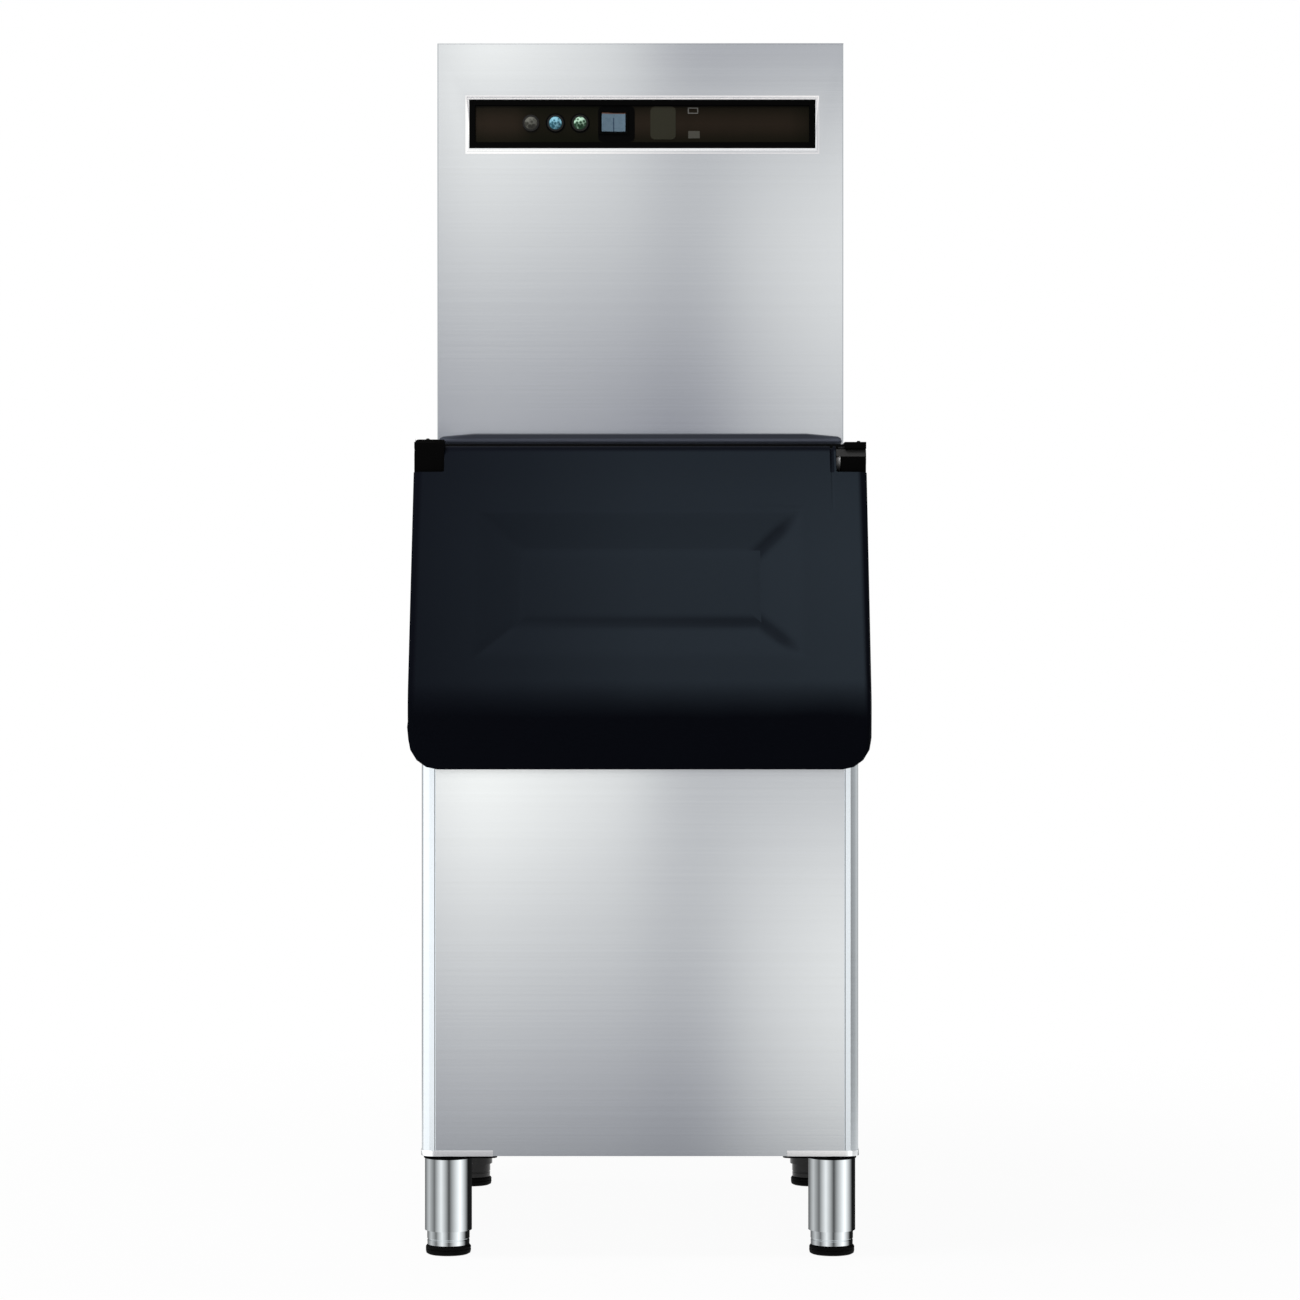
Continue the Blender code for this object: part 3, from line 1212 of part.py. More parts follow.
def head_back_panel():
    """The back sheet, slotted behind the condenser and bored for the connections."""
    half = HEAD_HALF - HEAD_HEM - SEAT
    bm = bmesh.new()
    add_box(bm, (-half, BACK_Y - HEAD_SHEET, HEAD_WALL_BASE_Z), (half, BACK_Y, HEAD_WALL_TOP_Z))
    panel = solid("head_back_panel", bm, "galvanised")
    slots = bmesh.new()
    first_z = FAN_Z - (GRILLE_ROWS - 1) * GRILLE_PITCH / 2
    for row in range(GRILLE_ROWS):
        for side in (-1, 1):
            x = FAN_X + side * (GRILLE_BAR + GRILLE_SLOT_LENGTH) / 2
            low = (x - GRILLE_SLOT_LENGTH / 2, first_z + row * GRILLE_PITCH - GRILLE_SLOT_HEIGHT / 2)
            high = (x + GRILLE_SLOT_LENGTH / 2, low[1] + GRILLE_SLOT_HEIGHT)
            add_prism(slots, rectangle(low, high), "Y", BACK_Y - OVERRUN, BACK_Y + OVERRUN)
    cut(panel, slots)
    bores = bmesh.new()
    inlet = (INLET_X, BACK_Y, HEAD_BASE_Z + INLET_HEIGHT)
    add_cylinder(bores, "Y", inlet, INLET_THREAD_RADIUS + SEAT, -OVERRUN, OVERRUN, SMALL_STEPS)
    gland = (GLAND_X, BACK_Y, HEAD_BASE_Z + GLAND_HEIGHT)
    add_cylinder(bores, "Y", gland, GLAND_RADIUS + SEAT, -OVERRUN, OVERRUN, SMALL_STEPS)
    return combine(panel, "DIFFERENCE", guide("head_back_bores", bores))


# Control panel
def add_panel_block(bm, half_width, half_height, front, back):
    low = (WINDOW_X - half_width, front, WINDOW_Z - half_height)
    add_box(bm, low, (WINDOW_X + half_width, back, WINDOW_Z + half_height))


def control_bezel():
    """The moulded frame in the window, with a ledge that holds the lens."""
    bm = bmesh.new()
    add_panel_block(bm, BEZEL_HALF_WIDTH, BEZEL_HALF_HEIGHT, BEZEL_FRONT_Y, BEZEL_BACK_Y)
    bezel = solid("control_bezel", bm, "black_moulding")
    pocket = bmesh.new()
    half_width = BEZEL_HALF_WIDTH - BEZEL_FRAME
    half_height = BEZEL_HALF_HEIGHT - BEZEL_FRAME
    add_panel_block(pocket, half_width, half_height, BEZEL_FRONT_Y - OVERRUN, LENS_BACK_Y + SEAT)
    cut(bezel, pocket)
    window = bmesh.new()
    half_width -= BEZEL_LEDGE
    half_height -= BEZEL_LEDGE
    add_panel_block(window, half_width, half_height, BEZEL_FRONT_Y - OVERRUN, BEZEL_BACK_Y + OVERRUN)
    return combine(bezel, "DIFFERENCE", guide("bezel_window", window))


def lamp_x(place_from_left):
    return LAMP_LEFT_X + place_from_left * LAMP_SPACING


def control_lens():
    """The dark window, bored for three lamps and cut for the rocker."""
    bm = bmesh.new()
    half_width = BEZEL_HALF_WIDTH - BEZEL_FRAME - SEAT
    half_height = BEZEL_HALF_HEIGHT - BEZEL_FRAME - SEAT
    add_panel_block(bm, half_width, half_height, LENS_FRONT_Y, LENS_BACK_Y)
    lens = solid("control_lens", bm, "smoked_lens")
    holes = bmesh.new()
    for place_from_left in range(3):
        centre = (lamp_x(place_from_left), LENS_FRONT_Y, LAMP_Z)
        add_cylinder(holes, "Y", centre, LAMP_RADIUS + SEAT, -OVERRUN, OVERRUN, SMALL_STEPS)
    half_width = ROCKER_WELL_HALF_WIDTH + ROCKER_WALL + SEAT
    half_height = ROCKER_WELL_HALF_HEIGHT + ROCKER_WALL + SEAT
    low = (ROCKER_X - half_width, LENS_FRONT_Y - OVERRUN, ROCKER_Z - half_height)
    add_box(holes, low, (ROCKER_X + half_width, LENS_BACK_Y + OVERRUN, ROCKER_Z + half_height))
    return cut(lens, holes)


def lamp(name, place_from_left, look):
    """A round indicator: a domed cap, its rim on the lens and its body behind."""
    shoulder = -LAMP_RIM - LAMP_DOME * LAMP_SHOULDER_RISE_SHARE
    profile = [
        (0, -LAMP_RIM - LAMP_DOME),
        (LAMP_DOME_RADIUS * LAMP_SHOULDER_RADIUS_SHARE, shoulder),
        (LAMP_DOME_RADIUS, -LAMP_RIM),
        (LAMP_RIM_RADIUS, -LAMP_RIM),
        (LAMP_RIM_RADIUS, -SEAT),
        (LAMP_RADIUS, -SEAT),
        (LAMP_RADIUS, LAMP_BODY),
        (0, LAMP_BODY),
    ]
    bm = bmesh.new()
    add_lathe(bm, profile, "Y", (lamp_x(place_from_left), LENS_FRONT_Y, LAMP_Z), SMALL_STEPS)
    return solid(name, bm, look, True)


def rocker_housing():
    """The switch's frame on the lens and its closed well behind."""
    bm = bmesh.new()
    half_width = ROCKER_WELL_HALF_WIDTH + ROCKER_WALL
    half_height = ROCKER_WELL_HALF_HEIGHT + ROCKER_WALL
    low = (ROCKER_X - half_width, LENS_FRONT_Y - ROCKER_RIM_PROUD, ROCKER_Z - half_height)
    high = (ROCKER_X + half_width, LENS_FRONT_Y + ROCKER_BODY, ROCKER_Z + half_height)
    add_box(bm, low, high)
    housing = solid("rocker_housing", bm, "black_moulding")
    rim = bmesh.new()
    half_width += ROCKER_RIM - ROCKER_WALL
    half_height += ROCKER_RIM - ROCKER_WALL
    low = (ROCKER_X - half_width, LENS_FRONT_Y - ROCKER_RIM_PROUD, ROCKER_Z - half_height)
    add_box(rim, low, (ROCKER_X + half_width, LENS_FRONT_Y - SEAT, ROCKER_Z + half_height))
    join(housing, rim)
    well = bmesh.new()
    half_width = ROCKER_WELL_HALF_WIDTH
    half_height = ROCKER_WELL_HALF_HEIGHT
    low = (ROCKER_X - half_width, LENS_FRONT_Y - OVERRUN, ROCKER_Z - half_height)
    add_box(well, low, (ROCKER_X + half_width, ROCKER_Y + ROCKER_WELL, ROCKER_Z + half_height))
    return cut(housing, well)


def rocker_key():
    """A shallow V of two finger faces on a round hub, turned to its on position."""
    half = ROCKER_WIDTH / 2
    cheek_back = ROCKER_CHEEK - ROCKER_FACE
    reach = math.acos(cheek_back / ROCKER_HUB_RADIUS) - math.pi / 2
    outline = [(half, cheek_back), (half, -ROCKER_FACE), (0, ROCKER_DISH - ROCKER_FACE)]
    outline += [(-half, -ROCKER_FACE), (-half, cheek_back)]
    outline += arc((0, 0), ROCKER_HUB_RADIUS, math.pi + reach, -reach, 8)
    bm = bmesh.new()
    add_prism(bm, outline, "Z", -ROCKER_HEIGHT / 2, ROCKER_HEIGHT / 2)
    key = solid("rocker_key", bm, "pale_blue_key")
    key.location = (ROCKER_X, ROCKER_Y, ROCKER_Z)
    key.rotation_euler = (0, 0, ROCKER_TILT)
    return key


def control_board():
    """The circuit board behind the lamps, on four posts from the bezel's frame."""
    bm = bmesh.new()
    half = BOARD_HALF
    low = (WINDOW_X - half, BOARD_Y, WINDOW_Z - BOARD_HEIGHT / 2)
    add_box(bm, low, (WINDOW_X + half, BOARD_Y + BOARD_THICKNESS, WINDOW_Z + BOARD_HEIGHT / 2))
    board = solid("control_board", bm, "green_board")
    posts = bmesh.new()
    frame_middle = BEZEL_HALF_HEIGHT - (BEZEL_FRAME + BEZEL_LEDGE) / 2
    for side in (-1, 1):
        for rise in (-frame_middle, frame_middle):
            centre = (WINDOW_X + side * (half - BOARD_POST_INSET), 0, WINDOW_Z + rise)
            front = BEZEL_BACK_Y + SEAT
            back = BOARD_Y + BOARD_THICKNESS / 2
            add_cylinder(posts, "Y", centre, BOARD_POST_RADIUS, front, back, 8)
    return join(board, posts)


# Machinery compartment
def partition_panel():
    """The sheet between machinery and ice, bored for the two refrigerant lines."""
    bm = bmesh.new()
    low = (PARTITION_LEFT_X, PARTITION_FRONT_Y, HEAD_WALL_BASE_Z)
    top = HEAD_TOP_Z - HEAD_SHEET - PARTITION_TOP_GAP
    add_box(bm, low, (PARTITION_RIGHT_X, PARTITION_BACK_Y, top))
    partition = solid("partition_panel", bm, "galvanised")
    bores = bmesh.new()
    ends = (PARTITION_X - OVERRUN, PARTITION_X + OVERRUN)
    radius = SUCTION_RADIUS + LINE_CLEARANCE
    add_cylinder(bores, "X", (0, COIL_Y, COIL_LOW_Z), radius, *ends, SMALL_STEPS)
    radius = LIQUID_RADIUS + LINE_CLEARANCE
    add_cylinder(bores, "X", (0, COIL_Y, COIL_HIGH_Z), radius, *ends, SMALL_STEPS)
    return cut(partition, bores)


def condenser_coil():
    """Upright fins on both faces of a core, between a top and a bottom header."""
    core_front = CONDENSER_Y - CONDENSER_CORE / 2
    core_back = CONDENSER_Y + CONDENSER_CORE / 2
    pitch = (CONDENSER_WIDTH - CONDENSER_FIN) / (CONDENSER_FINS - 1)
    starts = [CONDENSER_LEFT_X + i * pitch for i in range(CONDENSER_FINS)]
    front = []
    for x in starts:
        front += [(x, core_front), (x, CONDENSER_FRONT_Y)]
        front += [(x + CONDENSER_FIN, CONDENSER_FRONT_Y), (x + CONDENSER_FIN, core_front)]
    back = [(x, 2 * CONDENSER_Y - y) for x, y in reversed(front)]
    ends_trimmed = front[1:-1] + back[1:-1]
    bm = bmesh.new()
    low_z = HEAD_WALL_BASE_Z + CONDENSER_HEADER / 2
    add_prism(bm, ends_trimmed, "Z", low_z, CONDENSER_TOP_Z - CONDENSER_HEADER / 2)
    coil = solid("condenser_coil", bm, "fin_aluminium")
    headers = bmesh.new()
    for base in (HEAD_WALL_BASE_Z, CONDENSER_TOP_Z - CONDENSER_HEADER):
        low = (CONDENSER_LEFT_X, CONDENSER_FRONT_Y, base)
        add_box(headers, low, (CONDENSER_RIGHT_X, CONDENSER_BACK_Y, base + CONDENSER_HEADER))
    return join(coil, headers)


def fan_shroud():
    """A plate on the condenser's face, with a ring round the fan."""
    bm = bmesh.new()
    low = (CONDENSER_LEFT_X, SHROUD_FRONT_Y, HEAD_WALL_BASE_Z)
    add_box(bm, low, (CONDENSER_RIGHT_X, SHROUD_FRONT_Y + SHROUD_SHEET, CONDENSER_TOP_Z))
    shroud = solid("fan_shroud", bm, "galvanised", True)
    ring = bmesh.new()
    centre = (FAN_X, SHROUD_FRONT_Y, FAN_Z)
    radius = SHROUD_HOLE_RADIUS + SHROUD_RING_WALL
    add_cylinder(ring, "Y", centre, radius, -SHROUD_RING, SHROUD_SHEET / 2)
    join(shroud, ring)
    hole = bmesh.new()
    add_cylinder(hole, "Y", centre, SHROUD_HOLE_RADIUS, -SHROUD_RING - OVERRUN, OVERRUN)
    return cut(shroud, hole)


def fan_blade_section(radius, chord, turn):
    """A thin flat section across a blade, at its distance from the shaft."""
    along = Vector((math.cos(turn), 0, math.sin(turn)))
    across = Vector((-math.sin(turn), 0, math.cos(turn)))
    flat = across * math.cos(FAN_BLADE_PITCH) + Vector((0, math.sin(FAN_BLADE_PITCH), 0))
    flat.normalize()
    normal = along.cross(flat).normalized() * FAN_BLADE_SHEET / 2
    middle = along * radius
    half = flat * chord / 2
    return [middle - half - normal, middle + half - normal, middle + half + normal, middle - half + normal]


def fan_rotor():
    """Five pitched blades on a hub bored for the motor's shaft."""
    bm = bmesh.new()
    half = SHROUD_RING / 2
    bore = FAN_SHAFT_RADIUS + SEAT
    bore_end = RING_FRONT_Y + FAN_SHAFT_REACH + SEAT - FAN_Y
    profile = [(bore, -half), (FAN_HUB_RADIUS, -half), (FAN_HUB_RADIUS, half), (0, half)]
    profile = [(0, bore_end), (bore, bore_end)] + profile
    add_lathe(bm, profile, "Y", (0, 0, 0), SMALL_STEPS)
    rotor = solid("fan_rotor", bm, "fin_aluminium", True)
    blades = bmesh.new()
    tip = SHROUD_HOLE_RADIUS - FAN_TIP_GAP
    root = (FAN_HUB_RADIUS + bore) / 2
    for blade in range(FAN_BLADES):
        turn = math.tau * blade / FAN_BLADES
        near = fan_blade_section(root, FAN_BLADE_ROOT, turn)
        middle = fan_blade_section((root + tip) / 2, (FAN_BLADE_ROOT + FAN_BLADE_TIP) / 2, turn)
        far = fan_blade_section(tip, FAN_BLADE_TIP, turn)
        add_loft(blades, [near, middle, far])
    hidden = guide("fan_rotor_blades", blades)
    hidden.location = (FAN_X, FAN_Y, FAN_Z)
    rotor.location = (FAN_X, FAN_Y, FAN_Z)
    return combine(rotor, "UNION", hidden)


def fan_motor():
    """A round motor with its shaft, on four arms that reach the shroud's plate."""
    back = MOTOR_FACE_Y
    front = back - FAN_MOTOR_LENGTH
    shaft_end = RING_FRONT_Y + FAN_SHAFT_REACH
    profile = [
        (0, front),
        (FAN_MOTOR_RADIUS, front),
        (FAN_MOTOR_RADIUS, back),
        (FAN_SHAFT_RADIUS, back),
        (FAN_SHAFT_RADIUS, shaft_end),
        (0, shaft_end),
    ]
    bm = bmesh.new()
    add_lathe(bm, profile, "Y", (FAN_X, 0, FAN_Z), SMALL_STEPS)
    motor = solid("fan_motor", bm, "black_enamel", True)
    arms = bmesh.new()
    tab_in = SHROUD_HOLE_RADIUS + SHROUD_RING_WALL + RUNNING_GAP
    tab_out = tab_in + FAN_ARM_THICKNESS
    arm_front = back - FAN_ARM_THICKNESS
    plate = SHROUD_FRONT_Y - SEAT
    outline = [(FAN_MOTOR_RADIUS / 2, arm_front), (tab_out, arm_front), (tab_out, plate)]
    outline += [(tab_in, plate), (tab_in, back - SEAT), (FAN_MOTOR_RADIUS / 2, back - SEAT)]
    for quarter in range(4):
        turn = math.pi / 4 + quarter * math.pi / 2
        along = Vector((math.cos(turn), 0, math.sin(turn)))
        across = Vector((-math.sin(turn), 0, math.cos(turn))) * FAN_ARM_WIDTH / 2
        centre = Vector((FAN_X, 0, FAN_Z))
        sections = []
        for offset in (-across, across):
            sections.append([centre + along * r + offset + Vector((0, y, 0)) for r, y in outline])
        add_loft(arms, sections)
    return join(motor, arms)


def compressor():
    """The welded pot on its base plate and four rubber feet, with a terminal cover."""
    floor = COMPRESSOR_SHELL_Z
    seam = floor + COMPRESSOR_SEAM_HEIGHT
    top = floor + COMPRESSOR_HEIGHT
    shoulder = top - COMPRESSOR_DOME
    bottom = floor + COMPRESSOR_PLATE / 2
    profile = [
        (0, bottom),
        (COMPRESSOR_RADIUS * COMPRESSOR_BOTTOM_SHARE, bottom),
        (COMPRESSOR_RADIUS, bottom + COMPRESSOR_DOME / 2),
        (COMPRESSOR_RADIUS, seam),
        (COMPRESSOR_RADIUS + COMPRESSOR_SEAM, seam),
        (COMPRESSOR_RADIUS + COMPRESSOR_SEAM, seam + COMPRESSOR_SEAM),
        (COMPRESSOR_RADIUS, seam + COMPRESSOR_SEAM),
    ]
    for turn in range(4):
        angle = turn * math.pi / 8
        profile.append((COMPRESSOR_RADIUS * math.cos(angle), shoulder + COMPRESSOR_DOME * math.sin(angle)))
    profile.append((0, top))
    bm = bmesh.new()
    add_lathe(bm, profile, "Z", (COMPRESSOR_X, COMPRESSOR_Y, 0))
    pot = solid("compressor", bm, "black_enamel", True)
    base = bmesh.new()
    half = COMPRESSOR_PLATE_SIZE / 2
    low = (COMPRESSOR_X - half, COMPRESSOR_Y - half, floor)
    add_box(base, low, (COMPRESSOR_X + half, COMPRESSOR_Y + half, floor + COMPRESSOR_PLATE))
    join(pot, base)
    feet = bmesh.new()
    inset = half - COMPRESSOR_FOOT_RADIUS
    for x in (-inset, inset):
        for y in (-inset, inset):
            centre = (COMPRESSOR_X + x, COMPRESSOR_Y + y, 0)
            top_end = floor + COMPRESSOR_PLATE / 2
            add_cylinder(feet, "Z", centre, COMPRESSOR_FOOT_RADIUS, HEAD_WALL_BASE_Z, top_end, 10)
    combine(pot, "UNION", guide("compressor_feet", feet))
    cover = bmesh.new()
    reach = COMPRESSOR_RADIUS + COMPRESSOR_TERMINAL / 2
    half = COMPRESSOR_TERMINAL / 2
    low = (COMPRESSOR_X - half, COMPRESSOR_Y - reach, seam + COMPRESSOR_TERMINAL / 2)
    add_box(cover, low, (COMPRESSOR_X + half, COMPRESSOR_Y, low[2] + 2 * COMPRESSOR_TERMINAL))
    return combine(pot, "UNION", guide("compressor_cover", cover))


def refrigerant_lines():
    """Copper lines: compressor to condenser, to drier, to evaporator and back."""
    line_z = COMPRESSOR_SHELL_Z + COMPRESSOR_SEAM_HEIGHT * 2
    over_z = CONDENSER_TOP_Z + LINE_STANDOFF
    port_y = COMPRESSOR_Y + COMPRESSOR_RADIUS + SEAT
    rise_y = port_y + LINE_STANDOFF
    discharge = [
        (COMPRESSOR_X, port_y, line_z),
        (COMPRESSOR_X, rise_y, line_z),
        (COMPRESSOR_X, rise_y, over_z),
        (COMPRESSOR_X, CONDENSER_Y, over_z),
        (COMPRESSOR_X, CONDENSER_Y, CONDENSER_TOP_Z + SEAT),
    ]
    tube("discharge_line", discharge, LIQUID_RADIUS, "copper")
    liquid = [
        (DRIER_X, CONDENSER_Y, CONDENSER_TOP_Z - LINE_STANDOFF),
        (DRIER_X, CONDENSER_Y, COIL_HIGH_Z),
        (DRIER_X, DRIER_BACK_Y + DRIER_NECK + SEAT, COIL_HIGH_Z),
    ]
    liquid.insert(0, (CONDENSER_RIGHT_X + SEAT, CONDENSER_Y, CONDENSER_TOP_Z - LINE_STANDOFF))
    tube("liquid_line", liquid, LIQUID_RADIUS, "copper")
    feed = [
        (DRIER_X, DRIER_FRONT_Y - DRIER_NECK - SEAT, COIL_HIGH_Z),
        (DRIER_X, COIL_Y, COIL_HIGH_Z),
        (COIL_LEFT_X - SEAT, COIL_Y, COIL_HIGH_Z),
    ]
    tube("feed_line", feed, LIQUID_RADIUS, "copper")
    port_x = COMPRESSOR_X + COMPRESSOR_RADIUS + SEAT
    suction = [
        (port_x, COMPRESSOR_Y, line_z),
        (port_x + LINE_STANDOFF, COMPRESSOR_Y, line_z),
        (port_x + LINE_STANDOFF, COMPRESSOR_Y, COIL_LOW_Z),
        (port_x + LINE_STANDOFF, COIL_Y, COIL_LOW_Z),
        (COIL_LEFT_X - SEAT, COIL_Y, COIL_LOW_Z),
    ]
    tube("suction_line", suction, SUCTION_RADIUS, "copper")


def filter_drier():
    """A copper pot with a neck at each end, clipped to the partition."""
    shoulder = DRIER_NECK / 2
    profile = [
        (0, -DRIER_NECK),
        (DRIER_NECK_RADIUS, -DRIER_NECK),
        (DRIER_NECK_RADIUS, 0),
        (DRIER_RADIUS, shoulder),
        (DRIER_RADIUS, DRIER_LENGTH - shoulder),
        (DRIER_NECK_RADIUS, DRIER_LENGTH),
        (DRIER_NECK_RADIUS, DRIER_LENGTH + DRIER_NECK),
        (0, DRIER_LENGTH + DRIER_NECK),
    ]
    bm = bmesh.new()
    add_lathe(bm, profile, "Y", (DRIER_X, DRIER_FRONT_Y, COIL_HIGH_Z), SMALL_STEPS)
    return solid("filter_drier", bm, "copper", True)


def electrical_box():
    bm = bmesh.new()
    right = PARTITION_LEFT_X - SEAT
    front = PARTITION_FRONT_Y
    base = HEAD_BASE_Z + ELECTRIC_BOX_BOTTOM
    outline = rounded_rectangle(
        (right - ELECTRIC_BOX_WIDTH, front), (right, front + ELECTRIC_BOX_LENGTH), ELECTRIC_BOX_EDGE, 2
    )
    add_prism(bm, outline, "Z", base, base + ELECTRIC_BOX_HEIGHT)
    return solid("electrical_box", bm, "grey_moulding")


# Ice-making compartment
def ear_outline():
    """The tab that carries the curtain's pin, from its foot in the evaporator's frame."""
    foot_y = CELL_FRONT_Y + EAR_FOOT
    low = CURTAIN_Z - EAR_RADIUS
    outline = [(CELL_FRONT_Y, low - EAR_RADIUS), (foot_y, low - EAR_RADIUS)]
    outline += [(foot_y, CURTAIN_Z + EAR_RADIUS), (CURTAIN_Y, CURTAIN_Z + EAR_RADIUS)]
    outline += arc((CURTAIN_Y, CURTAIN_Z), EAR_RADIUS, math.pi * 3 / 4, math.pi * 5 / 4, 2)
    return outline + [(CURTAIN_Y, low), (CELL_FRONT_Y, low)]


def evaporator_plate():
    """A block of square cells that the cubes freeze in, with an ear at each side."""
    bm = bmesh.new()
    low = (EVAPORATOR_LEFT_X, CELL_FRONT_Y, EVAPORATOR_BASE_Z)
    add_box(bm, low, (EVAPORATOR_RIGHT_X, EVAPORATOR_Y + EVAPORATOR_PLATE, EVAPORATOR_TOP_Z))
    plate = solid("evaporator_plate", bm, "stainless")
    cells = bmesh.new()
    pitch_x = (EVAPORATOR_WIDTH - 2 * EVAPORATOR_FRAME + CELL_WALL) / CELL_COLUMNS
    pitch_z = (EVAPORATOR_HEIGHT - 2 * EVAPORATOR_FRAME + CELL_WALL) / CELL_ROWS
    for column in range(CELL_COLUMNS):
        for row in range(CELL_ROWS):
            x = EVAPORATOR_LEFT_X + EVAPORATOR_FRAME + column * pitch_x
            z = EVAPORATOR_BASE_Z + EVAPORATOR_FRAME + row * pitch_z
            high = (x + pitch_x - CELL_WALL, EVAPORATOR_Y, z + pitch_z - CELL_WALL)
            add_box(cells, (x, CELL_FRONT_Y - OVERRUN, z), high)
    cut(plate, cells)
    ears = bmesh.new()
    for x in (EVAPORATOR_LEFT_X, EVAPORATOR_RIGHT_X - EAR_THICKNESS):
        add_prism(ears, ear_outline(), "X", x, x + EAR_THICKNESS)
    join(plate, ears)
    bores = bmesh.new()
    radius = CURTAIN_PIN_RADIUS + PIN_CLEARANCE
    centre = (0, CURTAIN_Y, CURTAIN_Z)
    for x in (EVAPORATOR_LEFT_X, EVAPORATOR_RIGHT_X - EAR_THICKNESS):
        ends = (x - EAR_THICKNESS, x + 2 * EAR_THICKNESS)
        add_cylinder(bores, "X", centre, radius, *ends, 12)
    return combine(plate, "DIFFERENCE", guide("ear_bores", bores))


def evaporator_coil():
    """The refrigerant's run to and fro across the back of the plate."""
    near = EVAPORATOR_LEFT_X + COIL_MARGIN
    far = EVAPORATOR_RIGHT_X - COIL_MARGIN
    rise = (COIL_HIGH_Z - COIL_LOW_Z) / (COIL_RUNS - 1)
    route = [(COIL_LEFT_X, COIL_Y, COIL_LOW_Z)]
    for run in range(COIL_RUNS):
        z = COIL_LOW_Z + run * rise
        ends = (near, far) if run % 2 == 0 else (far, near)
        route += [(x, COIL_Y, z) for x in ends]
    route[1:2] = []
    route[-1] = (COIL_LEFT_X, COIL_Y, COIL_HIGH_Z)
    return tube("evaporator_coil", route, LIQUID_RADIUS, "copper", 1)


def water_curtain():
    """A bowed sheet hung on two pins, that the falling ice swings forward."""
    half = (EVAPORATOR_WIDTH - 2 * EAR_THICKNESS) / 2 - RUNNING_GAP
    foot = TROUGH_TOP_Z + CURTAIN_FOOT_GAP - CURTAIN_Z
    sheet = CURTAIN_SHEET / 2
    steps = 6
    centre_line = []
    for i in range(steps + 1):
        share = i / steps
        centre_line.append((-CURTAIN_BOW * math.sin(math.pi * share), foot * share))
    outline = [(y - sheet, z) for y, z in centre_line] + [(y + sheet, z) for y, z in reversed(centre_line)]
    bm = bmesh.new()
    add_prism(bm, outline, "X", -half, half)
    curtain = solid("water_curtain", bm, "white_liner", True)
    barrel = bmesh.new()
    add_cylinder(barrel, "X", (0, 0, 0), CURTAIN_BARREL_RADIUS, -half, half, 12)
    pin_half = EVAPORATOR_WIDTH / 2 - SEAT
    pins = bmesh.new()
    add_cylinder(pins, "X", (0, 0, 0), CURTAIN_PIN_RADIUS, -pin_half, pin_half, 12)
    axis = (EVAPORATOR_LEFT_X + EVAPORATOR_WIDTH / 2, CURTAIN_Y, CURTAIN_Z)
    curtain.location = axis
    for name, part in (("curtain_barrel", barrel), ("curtain_pins", pins)):
        hidden = guide(name, part)
        hidden.location = axis
        combine(curtain, "UNION", hidden)
    return curtain


def water_trough():
    """The open tray under the evaporator."""
    bm = bmesh.new()
    low = (EVAPORATOR_LEFT_X, TROUGH_FRONT_Y, HEAD_WALL_BASE_Z)
    high = (TROUGH_RIGHT_X, TROUGH_BACK_Y, TROUGH_TOP_Z)
    add_box(bm, low, high)
    trough = solid("water_trough", bm, "white_liner")
    hollow = bmesh.new()
    wall = Vector((TROUGH_WALL, TROUGH_WALL, TROUGH_WALL))
    high = Vector(high) - wall
    high.z = TROUGH_TOP_Z + OVERRUN
    add_box(hollow, Vector(low) + wall, high)
    return cut(trough, hollow)


def water_pump():
    """A motor above a narrow neck, with its volute on the trough's floor."""
    neck_base = PUMP_BASE_Z + PUMP_VOLUTE
    motor_base = PUMP_BASE_Z + PUMP_HEIGHT - PUMP_MOTOR
    top = PUMP_BASE_Z + PUMP_HEIGHT
    profile = [
        (0, PUMP_BASE_Z),
        (PUMP_RADIUS, PUMP_BASE_Z),
        (PUMP_RADIUS, neck_base),
        (PUMP_NECK_RADIUS, neck_base),
        (PUMP_NECK_RADIUS, motor_base),
        (PUMP_RADIUS, motor_base),
        (PUMP_RADIUS, top),
        (0, top),
    ]
    bm = bmesh.new()
    add_lathe(bm, profile, "Z", (PUMP_X, PUMP_Y, 0), SMALL_STEPS)
    return solid("water_pump", bm, "black_enamel", True)


def water_distributor():
    """The hose up from the pump and the tube along the evaporator's top edge."""
    start_z = PUMP_BASE_Z + PUMP_VOLUTE + SEAT + HOSE_RADIUS
    start_y = PUMP_Y - PUMP_NECK_RADIUS - SEAT
    rise_y = PUMP_Y - PUMP_RADIUS - HOSE_STANDOFF / 2
    top_z = EVAPORATOR_TOP_Z + HOSE_RADIUS + SEAT
    run_y = EVAPORATOR_Y + EVAPORATOR_PLATE - HOSE_RADIUS
    route = [
        (PUMP_X, start_y, start_z),
        (PUMP_X, rise_y, start_z),
        (PUMP_X, rise_y, top_z),
        (PUMP_X, run_y, top_z),
        (EVAPORATOR_LEFT_X + SEAT, run_y, top_z),
    ]
    return tube("water_distributor", route, HOSE_RADIUS, "white_liner")


